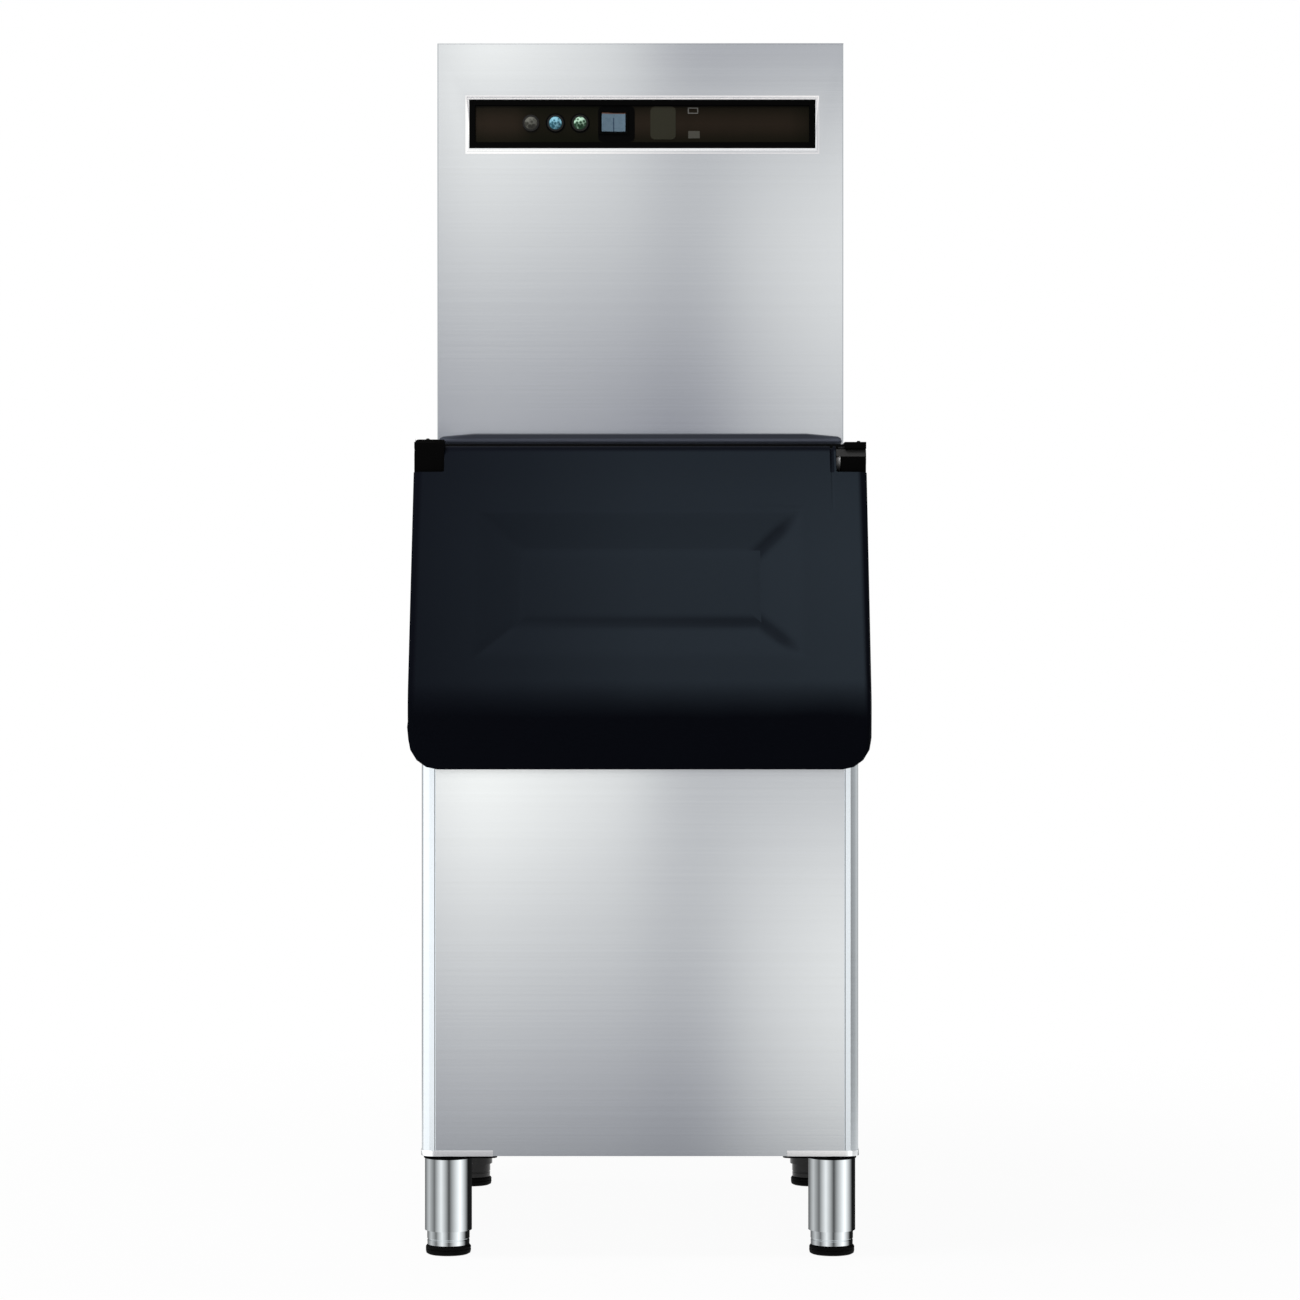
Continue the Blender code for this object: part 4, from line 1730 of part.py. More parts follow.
# Connections on the back
def inlet_valve():
    """The water inlet: a bored connection through the back, a body and its coil."""
    mouth = FITTING_PROUD
    inside = -HEAD_SHEET - SEAT
    profile = [
        (0, inside - INLET_BODY),
        (INLET_THREAD_RADIUS, inside - INLET_BODY),
        (INLET_THREAD_RADIUS, inside - INLET_FLANGE),
        (INLET_FLANGE_RADIUS, inside - INLET_FLANGE),
        (INLET_FLANGE_RADIUS, inside),
        (INLET_THREAD_RADIUS, inside),
        (INLET_THREAD_RADIUS, mouth),
        (INLET_BORE_RADIUS, mouth),
        (INLET_BORE_RADIUS, mouth - INLET_BORE_DEPTH),
        (0, mouth - INLET_BORE_DEPTH),
    ]
    centre = (INLET_X, BACK_Y, HEAD_BASE_Z + INLET_HEIGHT)
    bm = bmesh.new()
    add_lathe(bm, profile, "Y", centre, SMALL_STEPS)
    valve = solid("inlet_valve", bm, "brass", True)
    coil = bmesh.new()
    middle_y = BACK_Y + inside - (INLET_BODY + INLET_FLANGE) / 2
    coil_centre = (INLET_X, middle_y, centre[2])
    add_cylinder(coil, "Z", coil_centre, INLET_COIL_RADIUS, 0, INLET_THREAD_RADIUS + INLET_COIL_HEIGHT, 12)
    return join(valve, coil)


def power_gland():
    """The bored gland for the supply cord, with its nut and domed cap."""
    inside = -HEAD_SHEET - SEAT
    profile = [
        (GLAND_MOUTH_RADIUS, inside - GLAND_NUT),
        (GLAND_NUT_RADIUS, inside - GLAND_NUT),
        (GLAND_NUT_RADIUS, inside),
        (GLAND_RADIUS, inside),
        (GLAND_RADIUS, SEAT),
        (GLAND_NUT_RADIUS, SEAT),
        (GLAND_NUT_RADIUS, GLAND_NUT),
        (GLAND_RADIUS, GLAND_NUT + GLAND_CAP),
        (GLAND_MOUTH_RADIUS, GLAND_NUT + GLAND_CAP),
    ]
    bm = bmesh.new()
    add_lathe(bm, profile, "Y", (GLAND_X, BACK_Y, HEAD_BASE_Z + GLAND_HEIGHT), SMALL_STEPS)
    return solid("power_gland", bm, "black_moulding", True)


# The whole machine
def build_bin():
    slope = outside_mouth()
    hole = drain_hole()
    bin_front_panel(slope)
    bin_side_panel("bin_left_side_panel", -1, slope)
    bin_side_panel("bin_right_side_panel", 1, slope)
    bin_back_panel(hole)
    bin_base()
    bin_insulation(slope, hole)
    bin_liner(slope, hole)
    bin_top_deck(slope)
    bin_mouth_trim()
    bin_header_trim()
    bin_drain()
    legs_and_feet()


def build_lid():
    lid_shell()
    lid_liner()
    lid_insulation()
    for word, side in (("left", -1), ("right", 1)):
        hinge_bracket(f"hinge_bracket_{word}", side)
        hinge_pin(f"hinge_pin_{word}", side)


def build_head():
    head_base_pan()
    head_top_panel()
    add_louvres(head_side_panel("head_left_side_panel", -1))
    head_side_panel("head_right_side_panel", 1)
    head_front_panel()
    head_back_panel()
    partition_panel()
    inlet_valve()
    power_gland()


def build_controls():
    control_bezel()
    control_lens()
    for place_from_left, colour in enumerate(("grey", "blue", "green")):
        lamp(f"lamp_{colour}", place_from_left, f"{colour}_lens")
    rocker_housing()
    rocker_key()
    control_board()


def build_machinery():
    condenser_coil()
    fan_shroud()
    fan_rotor()
    fan_motor()
    compressor()
    filter_drier()
    electrical_box()
    refrigerant_lines()


def build_ice_maker():
    evaporator_plate()
    evaporator_coil()
    water_curtain()
    water_trough()
    water_pump()
    water_distributor()


for old in list(bpy.data.objects):
    bpy.data.objects.remove(old, do_unlink=True)
build_bin()
build_lid()
build_head()
build_controls()
build_machinery()
build_ice_maker()
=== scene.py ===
"""An ice maker: brushed steel head and bin, black lift-up lid, dark window, levelling legs."""
import json
import math

import bmesh
import bpy
from mathutils import Matrix, Vector

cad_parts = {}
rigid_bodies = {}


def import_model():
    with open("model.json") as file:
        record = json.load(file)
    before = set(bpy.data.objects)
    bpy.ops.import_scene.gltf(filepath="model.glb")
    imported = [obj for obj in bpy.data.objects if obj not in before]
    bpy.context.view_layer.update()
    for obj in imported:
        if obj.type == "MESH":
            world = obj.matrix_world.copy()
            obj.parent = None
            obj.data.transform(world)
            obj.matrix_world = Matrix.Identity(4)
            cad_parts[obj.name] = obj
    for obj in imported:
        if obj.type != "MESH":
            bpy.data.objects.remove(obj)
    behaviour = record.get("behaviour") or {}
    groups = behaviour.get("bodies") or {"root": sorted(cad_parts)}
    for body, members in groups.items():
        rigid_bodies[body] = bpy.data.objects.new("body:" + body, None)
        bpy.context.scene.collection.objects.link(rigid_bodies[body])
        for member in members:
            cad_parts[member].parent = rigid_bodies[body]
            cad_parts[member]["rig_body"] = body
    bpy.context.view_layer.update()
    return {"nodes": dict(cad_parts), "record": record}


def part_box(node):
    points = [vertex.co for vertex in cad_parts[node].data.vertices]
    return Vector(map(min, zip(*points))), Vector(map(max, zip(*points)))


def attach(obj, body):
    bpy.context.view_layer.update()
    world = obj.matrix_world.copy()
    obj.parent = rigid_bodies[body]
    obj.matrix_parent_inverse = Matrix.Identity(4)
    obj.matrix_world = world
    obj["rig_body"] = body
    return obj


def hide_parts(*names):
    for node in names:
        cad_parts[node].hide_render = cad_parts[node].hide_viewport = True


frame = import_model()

NODES = frame["nodes"]
SLOTS = {part["node"]: part["material_slot"] for part in frame["record"]["subparts"]}
SMOOTH_ANGLE = math.radians(32)

# The mouth's slope, in the part's own measures
FRONT_Y = -0.3775
SILL_Z = 0.755
MOUTH_ANGLE = math.radians(29)
HINGE_Y, HINGE_Z = -0.22408, 1.07777
LID_FACE_OUT = 0.0403
MOUTH_LENGTH = 0.39274


# Shader arithmetic
class Value:
    """A shader socket that takes part in arithmetic."""

    def __init__(self, finish, socket):
        self.finish = finish
        self.socket = socket

    def maths(self, operation, *others, clamp=False):
        settings = {"operation": operation, "use_clamp": clamp}
        return self.finish.node("Math", settings, dict(enumerate((self, *others))))

    def __add__(self, other):
        return self.maths("ADD", other)

    __radd__ = __add__

    def __sub__(self, other):
        return self.maths("SUBTRACT", other)

    def __rsub__(self, other):
        return self * -1.0 + other

    def __mul__(self, other):
        return self.maths("MULTIPLY", other)

    __rmul__ = __mul__

    def __gt__(self, other):
        return self.maths("GREATER_THAN", other)

    def __lt__(self, other):
        return self.maths("LESS_THAN", other)

    def __abs__(self):
        return self.maths("ABSOLUTE")

    def limited(self):
        return self.maths("ADD", 0.0, clamp=True)

    def smaller(self, other):
        return self.maths("MINIMUM", other)


class Finish:
    """A material or a world, put together node by node."""

    def __init__(self, name, kept_in="materials"):
        self.owner = getattr(bpy.data, kept_in).new(name)
        self.owner.use_nodes = True
        self.tree = self.owner.node_tree
        self.tree.nodes.clear()

    @property
    def place(self):
        """The place on the object itself, in metres."""
        return self.node("TexCoord", out="Object")

    def node(self, kind, settings=None, sockets=None, out=0):
        """Adds a node, sets its settings, then its sockets, and gives one output."""
        made = self.tree.nodes.new("ShaderNode" + kind)
        for name, setting in (settings or {}).items():
            if name == "stops":
                set_stops(made.color_ramp.elements, setting)
            else:
                setattr(made, name, setting)
        for name, given in (sockets or {}).items():
            socket = made.inputs[name]
            if isinstance(given, Value):
                self.tree.links.new(given.socket, socket)
            elif socket.type == "RGBA":
                socket.default_value = (*given[:3], 1.0)
            else:
                socket.default_value = given
        return Value(self, made.outputs[out]) if made.outputs else None

    def axis(self, letter):
        return self.node("SeparateXYZ", sockets={"Vector": self.place}, out=letter)

    def noise(self, stretch, detail=2.0, roughness=0.5):
        """Soft noise with so many cells in a metre along each axis."""
        spread = self.node("Mapping", sockets={"Vector": self.place, "Scale": stretch})
        sockets = {"Vector": spread, "Scale": 1.0, "Detail": detail, "Roughness": roughness}
        return self.node("TexNoise", sockets=sockets)

    def cells(self, stretch):
        """The distance from the nearest of a scatter of points."""
        spread = self.node("Mapping", sockets={"Vector": self.place, "Scale": stretch})
        return self.node("TexVoronoi", sockets={"Vector": spread, "Scale": 1.0})

    def ramp(self, value, *stops):
        return self.node("ValToRGB", {"stops": stops}, {"Fac": value})

    def mix(self, factor, first, second):
        return self.node("Mix", {"data_type": "RGBA"}, {0: factor, 6: first, 7: second}, out=2)

    def bump(self, height, depth):
        return self.node("Bump", sockets={"Height": height, "Distance": depth})

    def surface(self, **sockets):
        """Closes the material with one shader; underscores in names stand for spaces."""
        named = {name.replace("_", " "): given for name, given in sockets.items()}
        return self.close(self.node("BsdfPrincipled", sockets=named))

    def close(self, shader, output="OutputMaterial"):
        self.node(output, sockets={"Surface": shader})
        return self.owner

    def seen_directly(self):
        """1 for what the camera, a mirror or a glass looks at, and 0 for soft light."""
        seen = self.node("LightPath", out="Is Camera Ray")
        for name in ("Is Glossy Ray", "Is Transmission Ray"):
            seen = seen.maths("MAXIMUM", self.node("LightPath", out=name))
        return seen


def grey(level):
    return (level, level, level)


def set_stops(elements, stops):
    """Sets a ramp's stops from (position, level) pairs, first to last."""
    elements[0].position, elements[1].position = stops[0][0], stops[-1][0]
    elements[0].color, elements[1].color = (*grey(stops[0][1]), 1), (*grey(stops[-1][1]), 1)
    for position, level in stops[1:-1]:
        elements.new(position).color = (*grey(level), 1)


# Metals
STEEL_DARK, STEEL_LIGHT = (0.889, 0.945, 0.985), (0.982, 1.05, 1.10)


def brushed_steel(name, level=0.62, grain=(1.2, 1.2, 420.0), rotation=0.25, roughness=0.20):
    """Sheet steel with a long horizontal grain."""
    finish = Finish(name)
    strokes = finish.noise(grain, 3.0, 0.6)
    broad = finish.noise(tuple(part * 0.22 for part in grain), 1.0)
    clouds = finish.noise(grey(3.0), 1.0)
    tone = strokes * 0.6 + broad * 0.4
    dark, light = ([level * part for part in tint] for tint in (STEEL_DARK, STEEL_LIGHT))
    colour = finish.mix(tone, dark, light)
    return finish.surface(
        Base_Color=colour,
        Metallic=1.0,
        Roughness=roughness - 0.05 + strokes * 0.06 + clouds * 0.05,
        Anisotropic=0.7,
        Anisotropic_Rotation=rotation,
        Normal=finish.bump(strokes, 0.00003),
    )


def polished_steel(name, level=0.86, roughness=0.08, tint=(0.98, 1.0, 1.01)):
    """Bright steel, as on a pressed edge or a polished tube."""
    finish = Finish(name)
    haze = finish.noise(grey(60.0), 2.0)
    dark, light = [part * level * 0.95 for part in tint], [part * level for part in tint]
    scuffs = finish.noise((400.0, 400.0, 40.0), 2.0)
    return finish.surface(
        Base_Color=finish.mix(haze, dark, light),
        Metallic=1.0,
        Roughness=roughness + scuffs * 0.05 + haze * 0.03,
        Normal=finish.bump(scuffs, 0.00001),
    )


def galvanised_sheet(name):
    """Zinc-coated steel with its faint crystals."""
    finish = Finish(name)
    crystals = finish.cells(grey(70.0))
    haze = finish.noise(grey(14.0), 3.0)
    return finish.surface(
        Base_Color=finish.mix(crystals * 0.7 + haze * 0.3, (0.50, 0.52, 0.54), (0.66, 0.68, 0.70)),
        Metallic=1.0,
        Roughness=0.30 + crystals * 0.18 + haze * 0.08,
        Normal=finish.bump(crystals, 0.00004),
    )


def drawn_metal(name, dark, light, roughness, depth=0.00002):
    """Copper, brass or aluminium with a drawn surface and a little tarnish."""
    finish = Finish(name)
    tarnish = finish.noise(grey(22.0), 4.0, 0.6)
    lines = finish.noise((500.0, 500.0, 60.0), 2.0)
    return finish.surface(
        Base_Color=finish.mix(tarnish, dark, light),
        Metallic=1.0,
        Roughness=roughness + tarnish * 0.16,
        Normal=finish.bump(lines, depth),
    )


# Mouldings and paint
def moulding(name, dark, light, roughness=0.42, cells=900.0, depth=0.00006, level=0.5):
    """Moulded plastic with a fine eroded texture."""
    finish = Finish(name)
    pebbles = finish.noise(grey(cells), 2.0)
    haze = finish.noise(grey(9.0), 3.0)
    return finish.surface(
        Base_Color=finish.mix(haze, dark, light),
        Roughness=roughness - 0.04 + haze * 0.10,
        Specular_IOR_Level=level,
        Normal=finish.bump(pebbles, depth),
    )


def smoked_window():
    """Dark glossy plastic with painted light and shade: brown painted light across its middle, painted
    shade blacker towards its rims and ends, and darker round the lamps.
    """
    finish = Finish("smoked_lens")
    low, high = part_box("control_lens")
    flow = finish.noise((40.0, 40.0, 12.0), 2.0)
    height = (finish.axis("Z") - low.z) * (1 / (high.z - low.z))
    across = (finish.axis("X") - low.x) * (1 / (high.x - low.x))
    # painted light: brown across the middle of its height; painted shade: darker towards its top and foot
    painted_light_band = finish.ramp(
        height, (0.0, 0.25), (0.12, 0.42), (0.35, 0.85), (0.5, 1.0), (0.7, 0.85), (0.9, 0.48), (1.0, 0.35)
    )
    # painted shade: darker towards both ends, and darker round the lamps
    along = finish.ramp(
        across,
        (0.0, 0.82), (0.05, 1.0), (0.12, 0.90), (0.17, 0.30),
        (0.36, 0.22), (0.48, 0.92), (0.94, 0.94), (1.0, 0.45),
    )
    tone = painted_light_band * along * (0.9 + flow * 0.2)
    return finish.surface(
        Base_Color=finish.mix(tone, (0.0022, 0.0030, 0.0010), (0.0185, 0.0130, 0.0088)),
        Roughness=0.06 + flow * 0.04,
        Specular_IOR_Level=0.03,
        Normal=finish.bump(flow, 0.00002),
    )


def lamp_glass(name, node, shade, tint, glow, facets, glint_from=0.35):
    """A faceted indicator cap in a black ring: painted highlights on scattered facets over a dark ground,
    more of them towards its top, and these also glow a little.
    """
    finish = Finish(name)
    middle = centre_of(node)
    across, up = finish.axis("X") - middle.x, finish.axis("Z") - middle.z
    reach = (across * across + up * up).maths("SQRT")
    flecks = finish.cells(grey(facets))
    cap = (1.0 - (reach - LAMP_CAP_RADIUS) * LAMP_RIM_SHARPNESS).limited()
    # painted highlight: glints on scattered facets, more towards the top, which also feed the glow
    lit = ((flecks + up * 40.0 - glint_from) * 2.5).limited() * (reach < LAMP_CAP_RADIUS)
    return finish.surface(
        Base_Color=finish.mix(lit, finish.mix(cap, grey(0.0015), shade), tint),
        Roughness=0.16 + flecks * 0.1,
        Specular_IOR_Level=0.2,
        Emission_Color=finish.mix(lit, grey(0.0), glow),
        Emission_Strength=0.2,
        Normal=finish.bump(flecks, 0.0002),
    )


def circuit_board(name):
    """Green solder mask over tracks."""
    finish = Finish(name)
    tracks = finish.node(
        "TexBrick",
        sockets={"Vector": finish.place, "Scale": 60.0, "Color1": (0.005, 0.09, 0.03, 1),
                 "Color2": (0.01, 0.13, 0.05, 1), "Mortar": (0.02, 0.2, 0.08, 1)},
    )
    return finish.surface(Base_Color=tracks, Roughness=0.35, Specular_IOR_Level=0.5)


def poured_foam(name):
    finish = Finish(name)
    bubbles = finish.cells(grey(380.0))
    haze = finish.noise(grey(12.0), 3.0)
    return finish.surface(
        Base_Color=finish.mix(haze, (0.78, 0.66, 0.40), (0.86, 0.76, 0.52)),
        Roughness=0.85,
        Normal=finish.bump(bubbles, 0.0006),
    )


def marked_key(name):
    """The pale blue rocker, with the dark line down its fold."""
    finish = Finish(name)
    low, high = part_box("rocker_key")
    across = abs(finish.axis("X") - (low.x + high.x) / 2)
    height = finish.axis("Z")
    line = (across < KEY_LINE_HALF) * (height < high.z - KEY_LINE_TOP)
    haze = finish.noise(grey(160.0), 2.0)
    face = finish.mix(haze, (0.078, 0.122, 0.160), (0.105, 0.158, 0.205))
    lined = finish.mix(line, face, (0.02, 0.04, 0.07))
    edged = finish.mix(height > high.z - KEY_EDGE, lined, (0.09, 0.04, 0.025))
    return finish.surface(
        Base_Color=edged,
        Roughness=0.24 + haze * 0.08,
        Specular_IOR_Level=0.2,
        Emission_Color=edged,
        Emission_Strength=0.08,
        Normal=finish.bump(haze, 0.00003),
    )


def centre_of(node):
    low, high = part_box(node)
    return (low + high) / 2


LAMP_CAP_RADIUS, LAMP_RIM_SHARPNESS = 0.0084, 900.0
KEY_LINE_HALF, KEY_LINE_TOP, KEY_EDGE = 0.0008, 0.007, 0.0014
BLACK = moulding("black_moulding", grey(0.004), grey(0.007), 0.42, level=0.08)
FINISHES = {
    "stainless": brushed_steel("brushed_steel"),
    "chrome": polished_steel("bright_steel"),
    "galvanised": galvanised_sheet("galvanised_sheet"),
    "black_moulding": BLACK,
    "black_rubber": moulding(
        "black_rubber", grey(0.003), grey(0.006), 0.62, cells=400.0, depth=0.0001, level=0.05
    ),
    "black_enamel": moulding(
        "black_enamel", grey(0.006), grey(0.010), 0.24, cells=500.0, depth=0.00003, level=0.3
    ),
    "white_liner": moulding(
        "white_liner", (0.70, 0.72, 0.73), (0.76, 0.77, 0.78), 0.30, cells=260.0, depth=0.00003, level=0.4
    ),
    "insulating_foam": poured_foam("insulating_foam"),
    "smoked_lens": smoked_window(),
    "copper": drawn_metal("drawn_copper", (0.62, 0.26, 0.13), (0.88, 0.47, 0.30), 0.22),
    "fin_aluminium": drawn_metal("fin_aluminium", (0.62, 0.63, 0.64), (0.80, 0.81, 0.82), 0.28),
    "brass": drawn_metal("turned_brass", (0.58, 0.42, 0.16), (0.80, 0.62, 0.28), 0.24),
    "grey_moulding": moulding("grey_moulding", (0.26, 0.27, 0.28), (0.33, 0.34, 0.35), 0.45),
    "green_board": circuit_board("green_board"),
    "pale_blue_key": marked_key("pale_blue_key"),
    "blue_lens": lamp_glass(
        "blue_lens", "lamp_blue", (0.020, 0.090, 0.125), (0.19, 0.40, 0.49), (0.07, 0.19, 0.25),
        facets=260.0, glint_from=0.34,
    ),
    "green_lens": lamp_glass(
        "green_lens", "lamp_green", (0.010, 0.042, 0.018), (0.36, 0.54, 0.41), (0.13, 0.22, 0.16),
        facets=240.0, glint_from=0.40,
    ),
    "grey_lens": lamp_glass(
        "grey_lens", "lamp_grey", (0.030, 0.030, 0.024), (0.094, 0.094, 0.080), grey(0.02),
        facets=240.0, glint_from=0.35,
    ),
}
WINDOW_BLACK = moulding("window_black", grey(0.0008), grey(0.0014), 0.36, level=0.02)
# Painted shade: a darker copy of the black moulding for parts that sit in shade. Painted light: a lighter
# copy for faces that slope up into the light.
SHADED_BLACK = moulding("shaded_black", grey(0.0012), grey(0.0022), 0.44, level=0.02)
PAINTED_LIGHT_BLACK = moulding("painted_light_black", grey(0.016), grey(0.026), 0.40, level=0.25)
BUSH_GREY = moulding("bush_grey", grey(0.42), grey(0.50), 0.40, level=0.4)
PRINT_BROWN = moulding("print_brown", (0.023, 0.0222, 0.0150), (0.028, 0.0270, 0.0185), 0.30, level=0.06)
PRINT_PALE = moulding("print_pale", (0.11, 0.108, 0.10), (0.14, 0.138, 0.13), 0.45, level=0.1)
PRINT_DIM = moulding("print_dim", (0.052, 0.050, 0.042), (0.066, 0.064, 0.054), 0.45, level=0.1)
TOP_STEEL = brushed_steel("brushed_steel_top", grain=(1.2, 420.0, 1.2), rotation=0.0)
EDGE_STEEL = polished_steel("pressed_edge", 0.90, roughness=0.22)
TUBE_STEEL = polished_steel("tube_steel", 0.90, roughness=0.05, tint=(0.93, 0.985, 1.01))
for node, part in NODES.items():
    part.data.materials.clear()
    part.data.materials.append(FINISHES[SLOTS[node]])


# Mesh tools
def merged(node):
    """A node's mesh as a bmesh, welded and with its flat faces whole."""
    bm = bmesh.new()
    bm.from_mesh(NODES[node].data)
    bmesh.ops.remove_doubles(bm, verts=bm.verts, dist=0.00001)
    bmesh.ops.dissolve_limit(
        bm, angle_limit=math.radians(0.5), verts=bm.verts, edges=bm.edges, use_dissolve_boundaries=False
    )
    for face in bm.faces:
        face.material_index = 0
    return bm


def bevel(bm, edges, width, steps=2, clamp_overlap=False):
    bmesh.ops.bevel(
        bm, geom=edges, offset=width, offset_type="OFFSET", segments=steps, profile=0.5,
        affect="EDGES", material=-1, clamp_overlap=clamp_overlap,
    )


def soften(bm, width, least=35, steps=2):
    """Rounds the edges that turn by more than so many degrees."""
    limit = math.radians(least)
    edges = [
        edge for edge in bm.edges
        if edge.is_manifold and edge.calc_face_angle(0) > limit
    ]
    bevel(bm, edges, width, steps, clamp_overlap=True)


def piece(name, bm, body, slot, *finishes, stands_for=()):
    """Turns a bmesh into a finished piece on its body."""
    mesh = bpy.data.meshes.new(name)
    bm.to_mesh(mesh)
    bm.free()
    for finish in finishes or (FINISHES[slot],):
        mesh.materials.append(finish)
    for polygon in mesh.polygons:
        polygon.use_smooth = True
    mesh.set_sharp_from_angle(angle=SMOOTH_ANGLE)
    made = bpy.data.objects.new(name, mesh)
    bpy.context.scene.collection.objects.link(made)
    even = made.modifiers.new("even_normals", "WEIGHTED_NORMAL")
    even.keep_sharp = True
    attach(made, body)
    if stands_for:
        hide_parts(*stands_for)
    return made


def dressed(node, width=0.0, least=35, *finishes, shape=None):
    """A smooth copy of a node with its edges broken, which stands for it."""
    bm = merged(node)
    if shape:
        shape(bm)
    if width:
        soften(bm, width, least)
    return piece(
        node + "_dressed", bm, NODES[node]["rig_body"], SLOTS[node], *finishes, stands_for=(node,)
    )


TURNS = {
    "X": Matrix.Rotation(math.pi / 2, 4, "Y"),
    "Y": Matrix.Rotation(math.pi / 2, 4, "X"),
    "Z": Matrix(),
}


def turned(profile, centre, axis="Z", steps=40):
    """Spins a profile of (radius, height) round an axis through a centre."""
    bm = bmesh.new()
    points = [bm.verts.new((radius, 0, height)) for radius, height in profile]
    edges = [bm.edges.new(pair) for pair in zip(points, points[1:])]
    bmesh.ops.spin(
        bm, geom=points + edges, cent=(0, 0, 0), axis=(0, 0, 1), angle=math.tau, steps=steps, use_merge=True
    )
    bmesh.ops.remove_doubles(bm, verts=bm.verts, dist=0.000001)
    bmesh.ops.recalc_face_normals(bm, faces=bm.faces)
    bmesh.ops.transform(bm, matrix=Matrix.Translation(centre) @ TURNS[axis], verts=bm.verts)
    return bm


def block(low, high, width=0.0, steps=2):
    """A block between two corners with its edges rounded."""
    bm = bmesh.new()
    bmesh.ops.create_cube(bm, size=1.0)
    low, high = Vector(low), Vector(high)
    bmesh.ops.scale(bm, vec=high - low, verts=bm.verts)
    bmesh.ops.translate(bm, vec=(low + high) / 2, verts=bm.verts)
    if width:
        soften(bm, width, 30, steps)
    return bm


def gather(target, source):
    """Moves one bmesh's faces into another."""
    spare = bpy.data.meshes.new("spare")
    source.to_mesh(spare)
    source.free()
    target.from_mesh(spare)
    bpy.data.meshes.remove(spare)


# Lid
def mouth_place(point):
    """A point's rise along the mouth and its distance out from it."""
    y, z = point.y - FRONT_Y, point.z - SILL_Z
    up = y * math.sin(MOUTH_ANGLE) + z * math.cos(MOUTH_ANGLE)
    out = -y * math.cos(MOUTH_ANGLE) + z * math.sin(MOUTH_ANGLE)
    return up, out


MOUTH_UP = Vector((0, math.sin(MOUTH_ANGLE), math.cos(MOUTH_ANGLE)))
MOUTH_OUT = Vector((0, -math.cos(MOUTH_ANGLE), math.sin(MOUTH_ANGLE)))
RELIEF_HALF, RELIEF_FOOT, RELIEF_TOP = 0.2245, 0.031, 0.267
RELIEF_BORDER, RELIEF_DEPTH = 0.062, 0.010
RELIEF_STEP = 0.0045
SOFT_DEPTH = 0.0078  # of the same panel with its folds softened
FOLD_SOFTNESS = 0.22  # share of the border over which each fold turns
FURROW_DEPTH, FURROW_WIDTH = 0.0006, 0.006
NOTCH_UP = MOUTH_LENGTH - 0.036 - 0.0317
BARREL_END = 0.272
BUSH_START = 0.2690
GROOVE_FROM, GROOVE_TO, GROOVE_DEPTH, GROOVE_SLOPE = 0.2603, 0.2652, 0.0030, 0.0008
SIDE_DRAFT = 0.0025  # how far each side leans in at the lid's foot
# where the painted shade at the lid's top begins, and how far it spreads
LID_TOP_UP, TOP_SHADE_LENGTH = 0.3620, 0.0055
LID_HALF = 0.310
LID_CORNER, LID_FOOT_Z = 0.042, 0.657
# painted shade: where the darker nose gives way to the face, and the dark strips at the side edges
NOSE_SHADE_START, NOSE_SHADE_LENGTH = 0.049, 0.050
EDGE_DARK, EDGE_FADE = 0.0075, 0.0055


def border_distances(x, up):
    """How far inside the sunk panel's outline a place is, from its side and from its end."""
    return RELIEF_HALF - abs(x), min(up - RELIEF_FOOT, RELIEF_TOP - up)


def sharp_depth(x, up):
    return RELIEF_DEPTH * min(max(min(border_distances(x, up)) / RELIEF_BORDER, 0.0), 1.0)


def soft_depth(x, up):
    """The sunk panel's depth: sloping borders with soft folds, and a furrow along each."""
    side, end = border_distances(x, up)
    inward = min(side, end)
    share = min(inward / RELIEF_BORDER, 1.0)
    if share < FOLD_SOFTNESS:
        slope = share * share / (2 * FOLD_SOFTNESS)
    elif share > 1 - FOLD_SOFTNESS:
        slope = 1 - FOLD_SOFTNESS - (1 - share) ** 2 / (2 * FOLD_SOFTNESS)
    else:
        slope = share - FOLD_SOFTNESS / 2
    foot = abs(inward - RELIEF_BORDER)
    mitre = abs(side - end) / math.sqrt(2) if inward < RELIEF_BORDER else foot
    furrow = FURROW_DEPTH * math.exp(-((min(foot, mitre) / FURROW_WIDTH) ** 2))
    edge = min(inward / (FOLD_SOFTNESS * RELIEF_BORDER), 1.0)
    return SOFT_DEPTH * slope / (1 - FOLD_SOFTNESS) + furrow * edge


def slice_at(bm, point, normal, clear_outer=False, nearest=0.00001):
    """Cuts the faces along a plane, and can drop what lies beyond it."""
    geom = bm.verts[:] + bm.edges[:] + bm.faces[:]
    bmesh.ops.bisect_plane(
        bm, geom=geom, plane_co=point, plane_no=normal, dist=nearest, clear_outer=clear_outer
    )


def slice_lid(bm):
    """Cuts the lid finely across its sunk panel and beside its hinge barrel."""
    columns = round(2 * RELIEF_HALF / RELIEF_STEP)
    for column in range(columns + 1):
        slice_at(bm, (-RELIEF_HALF + column * 2 * RELIEF_HALF / columns, 0, 0), (1, 0, 0))
    foot = Vector((0, FRONT_Y, SILL_Z))
    rows = round((RELIEF_TOP - RELIEF_FOOT) / RELIEF_STEP)
    for row in range(rows + 1):
        up = RELIEF_FOOT + row * (RELIEF_TOP - RELIEF_FOOT) / rows
        slice_at(bm, foot + MOUTH_UP * up, MOUTH_UP)
    slice_at(bm, foot + MOUTH_UP * (NOTCH_UP + 0.001), MOUTH_UP)
    for x in (GROOVE_FROM, GROOVE_FROM + GROOVE_SLOPE, GROOVE_TO - GROOVE_SLOPE, GROOVE_TO):
        slice_at(bm, (x, 0, 0), (1, 0, 0))


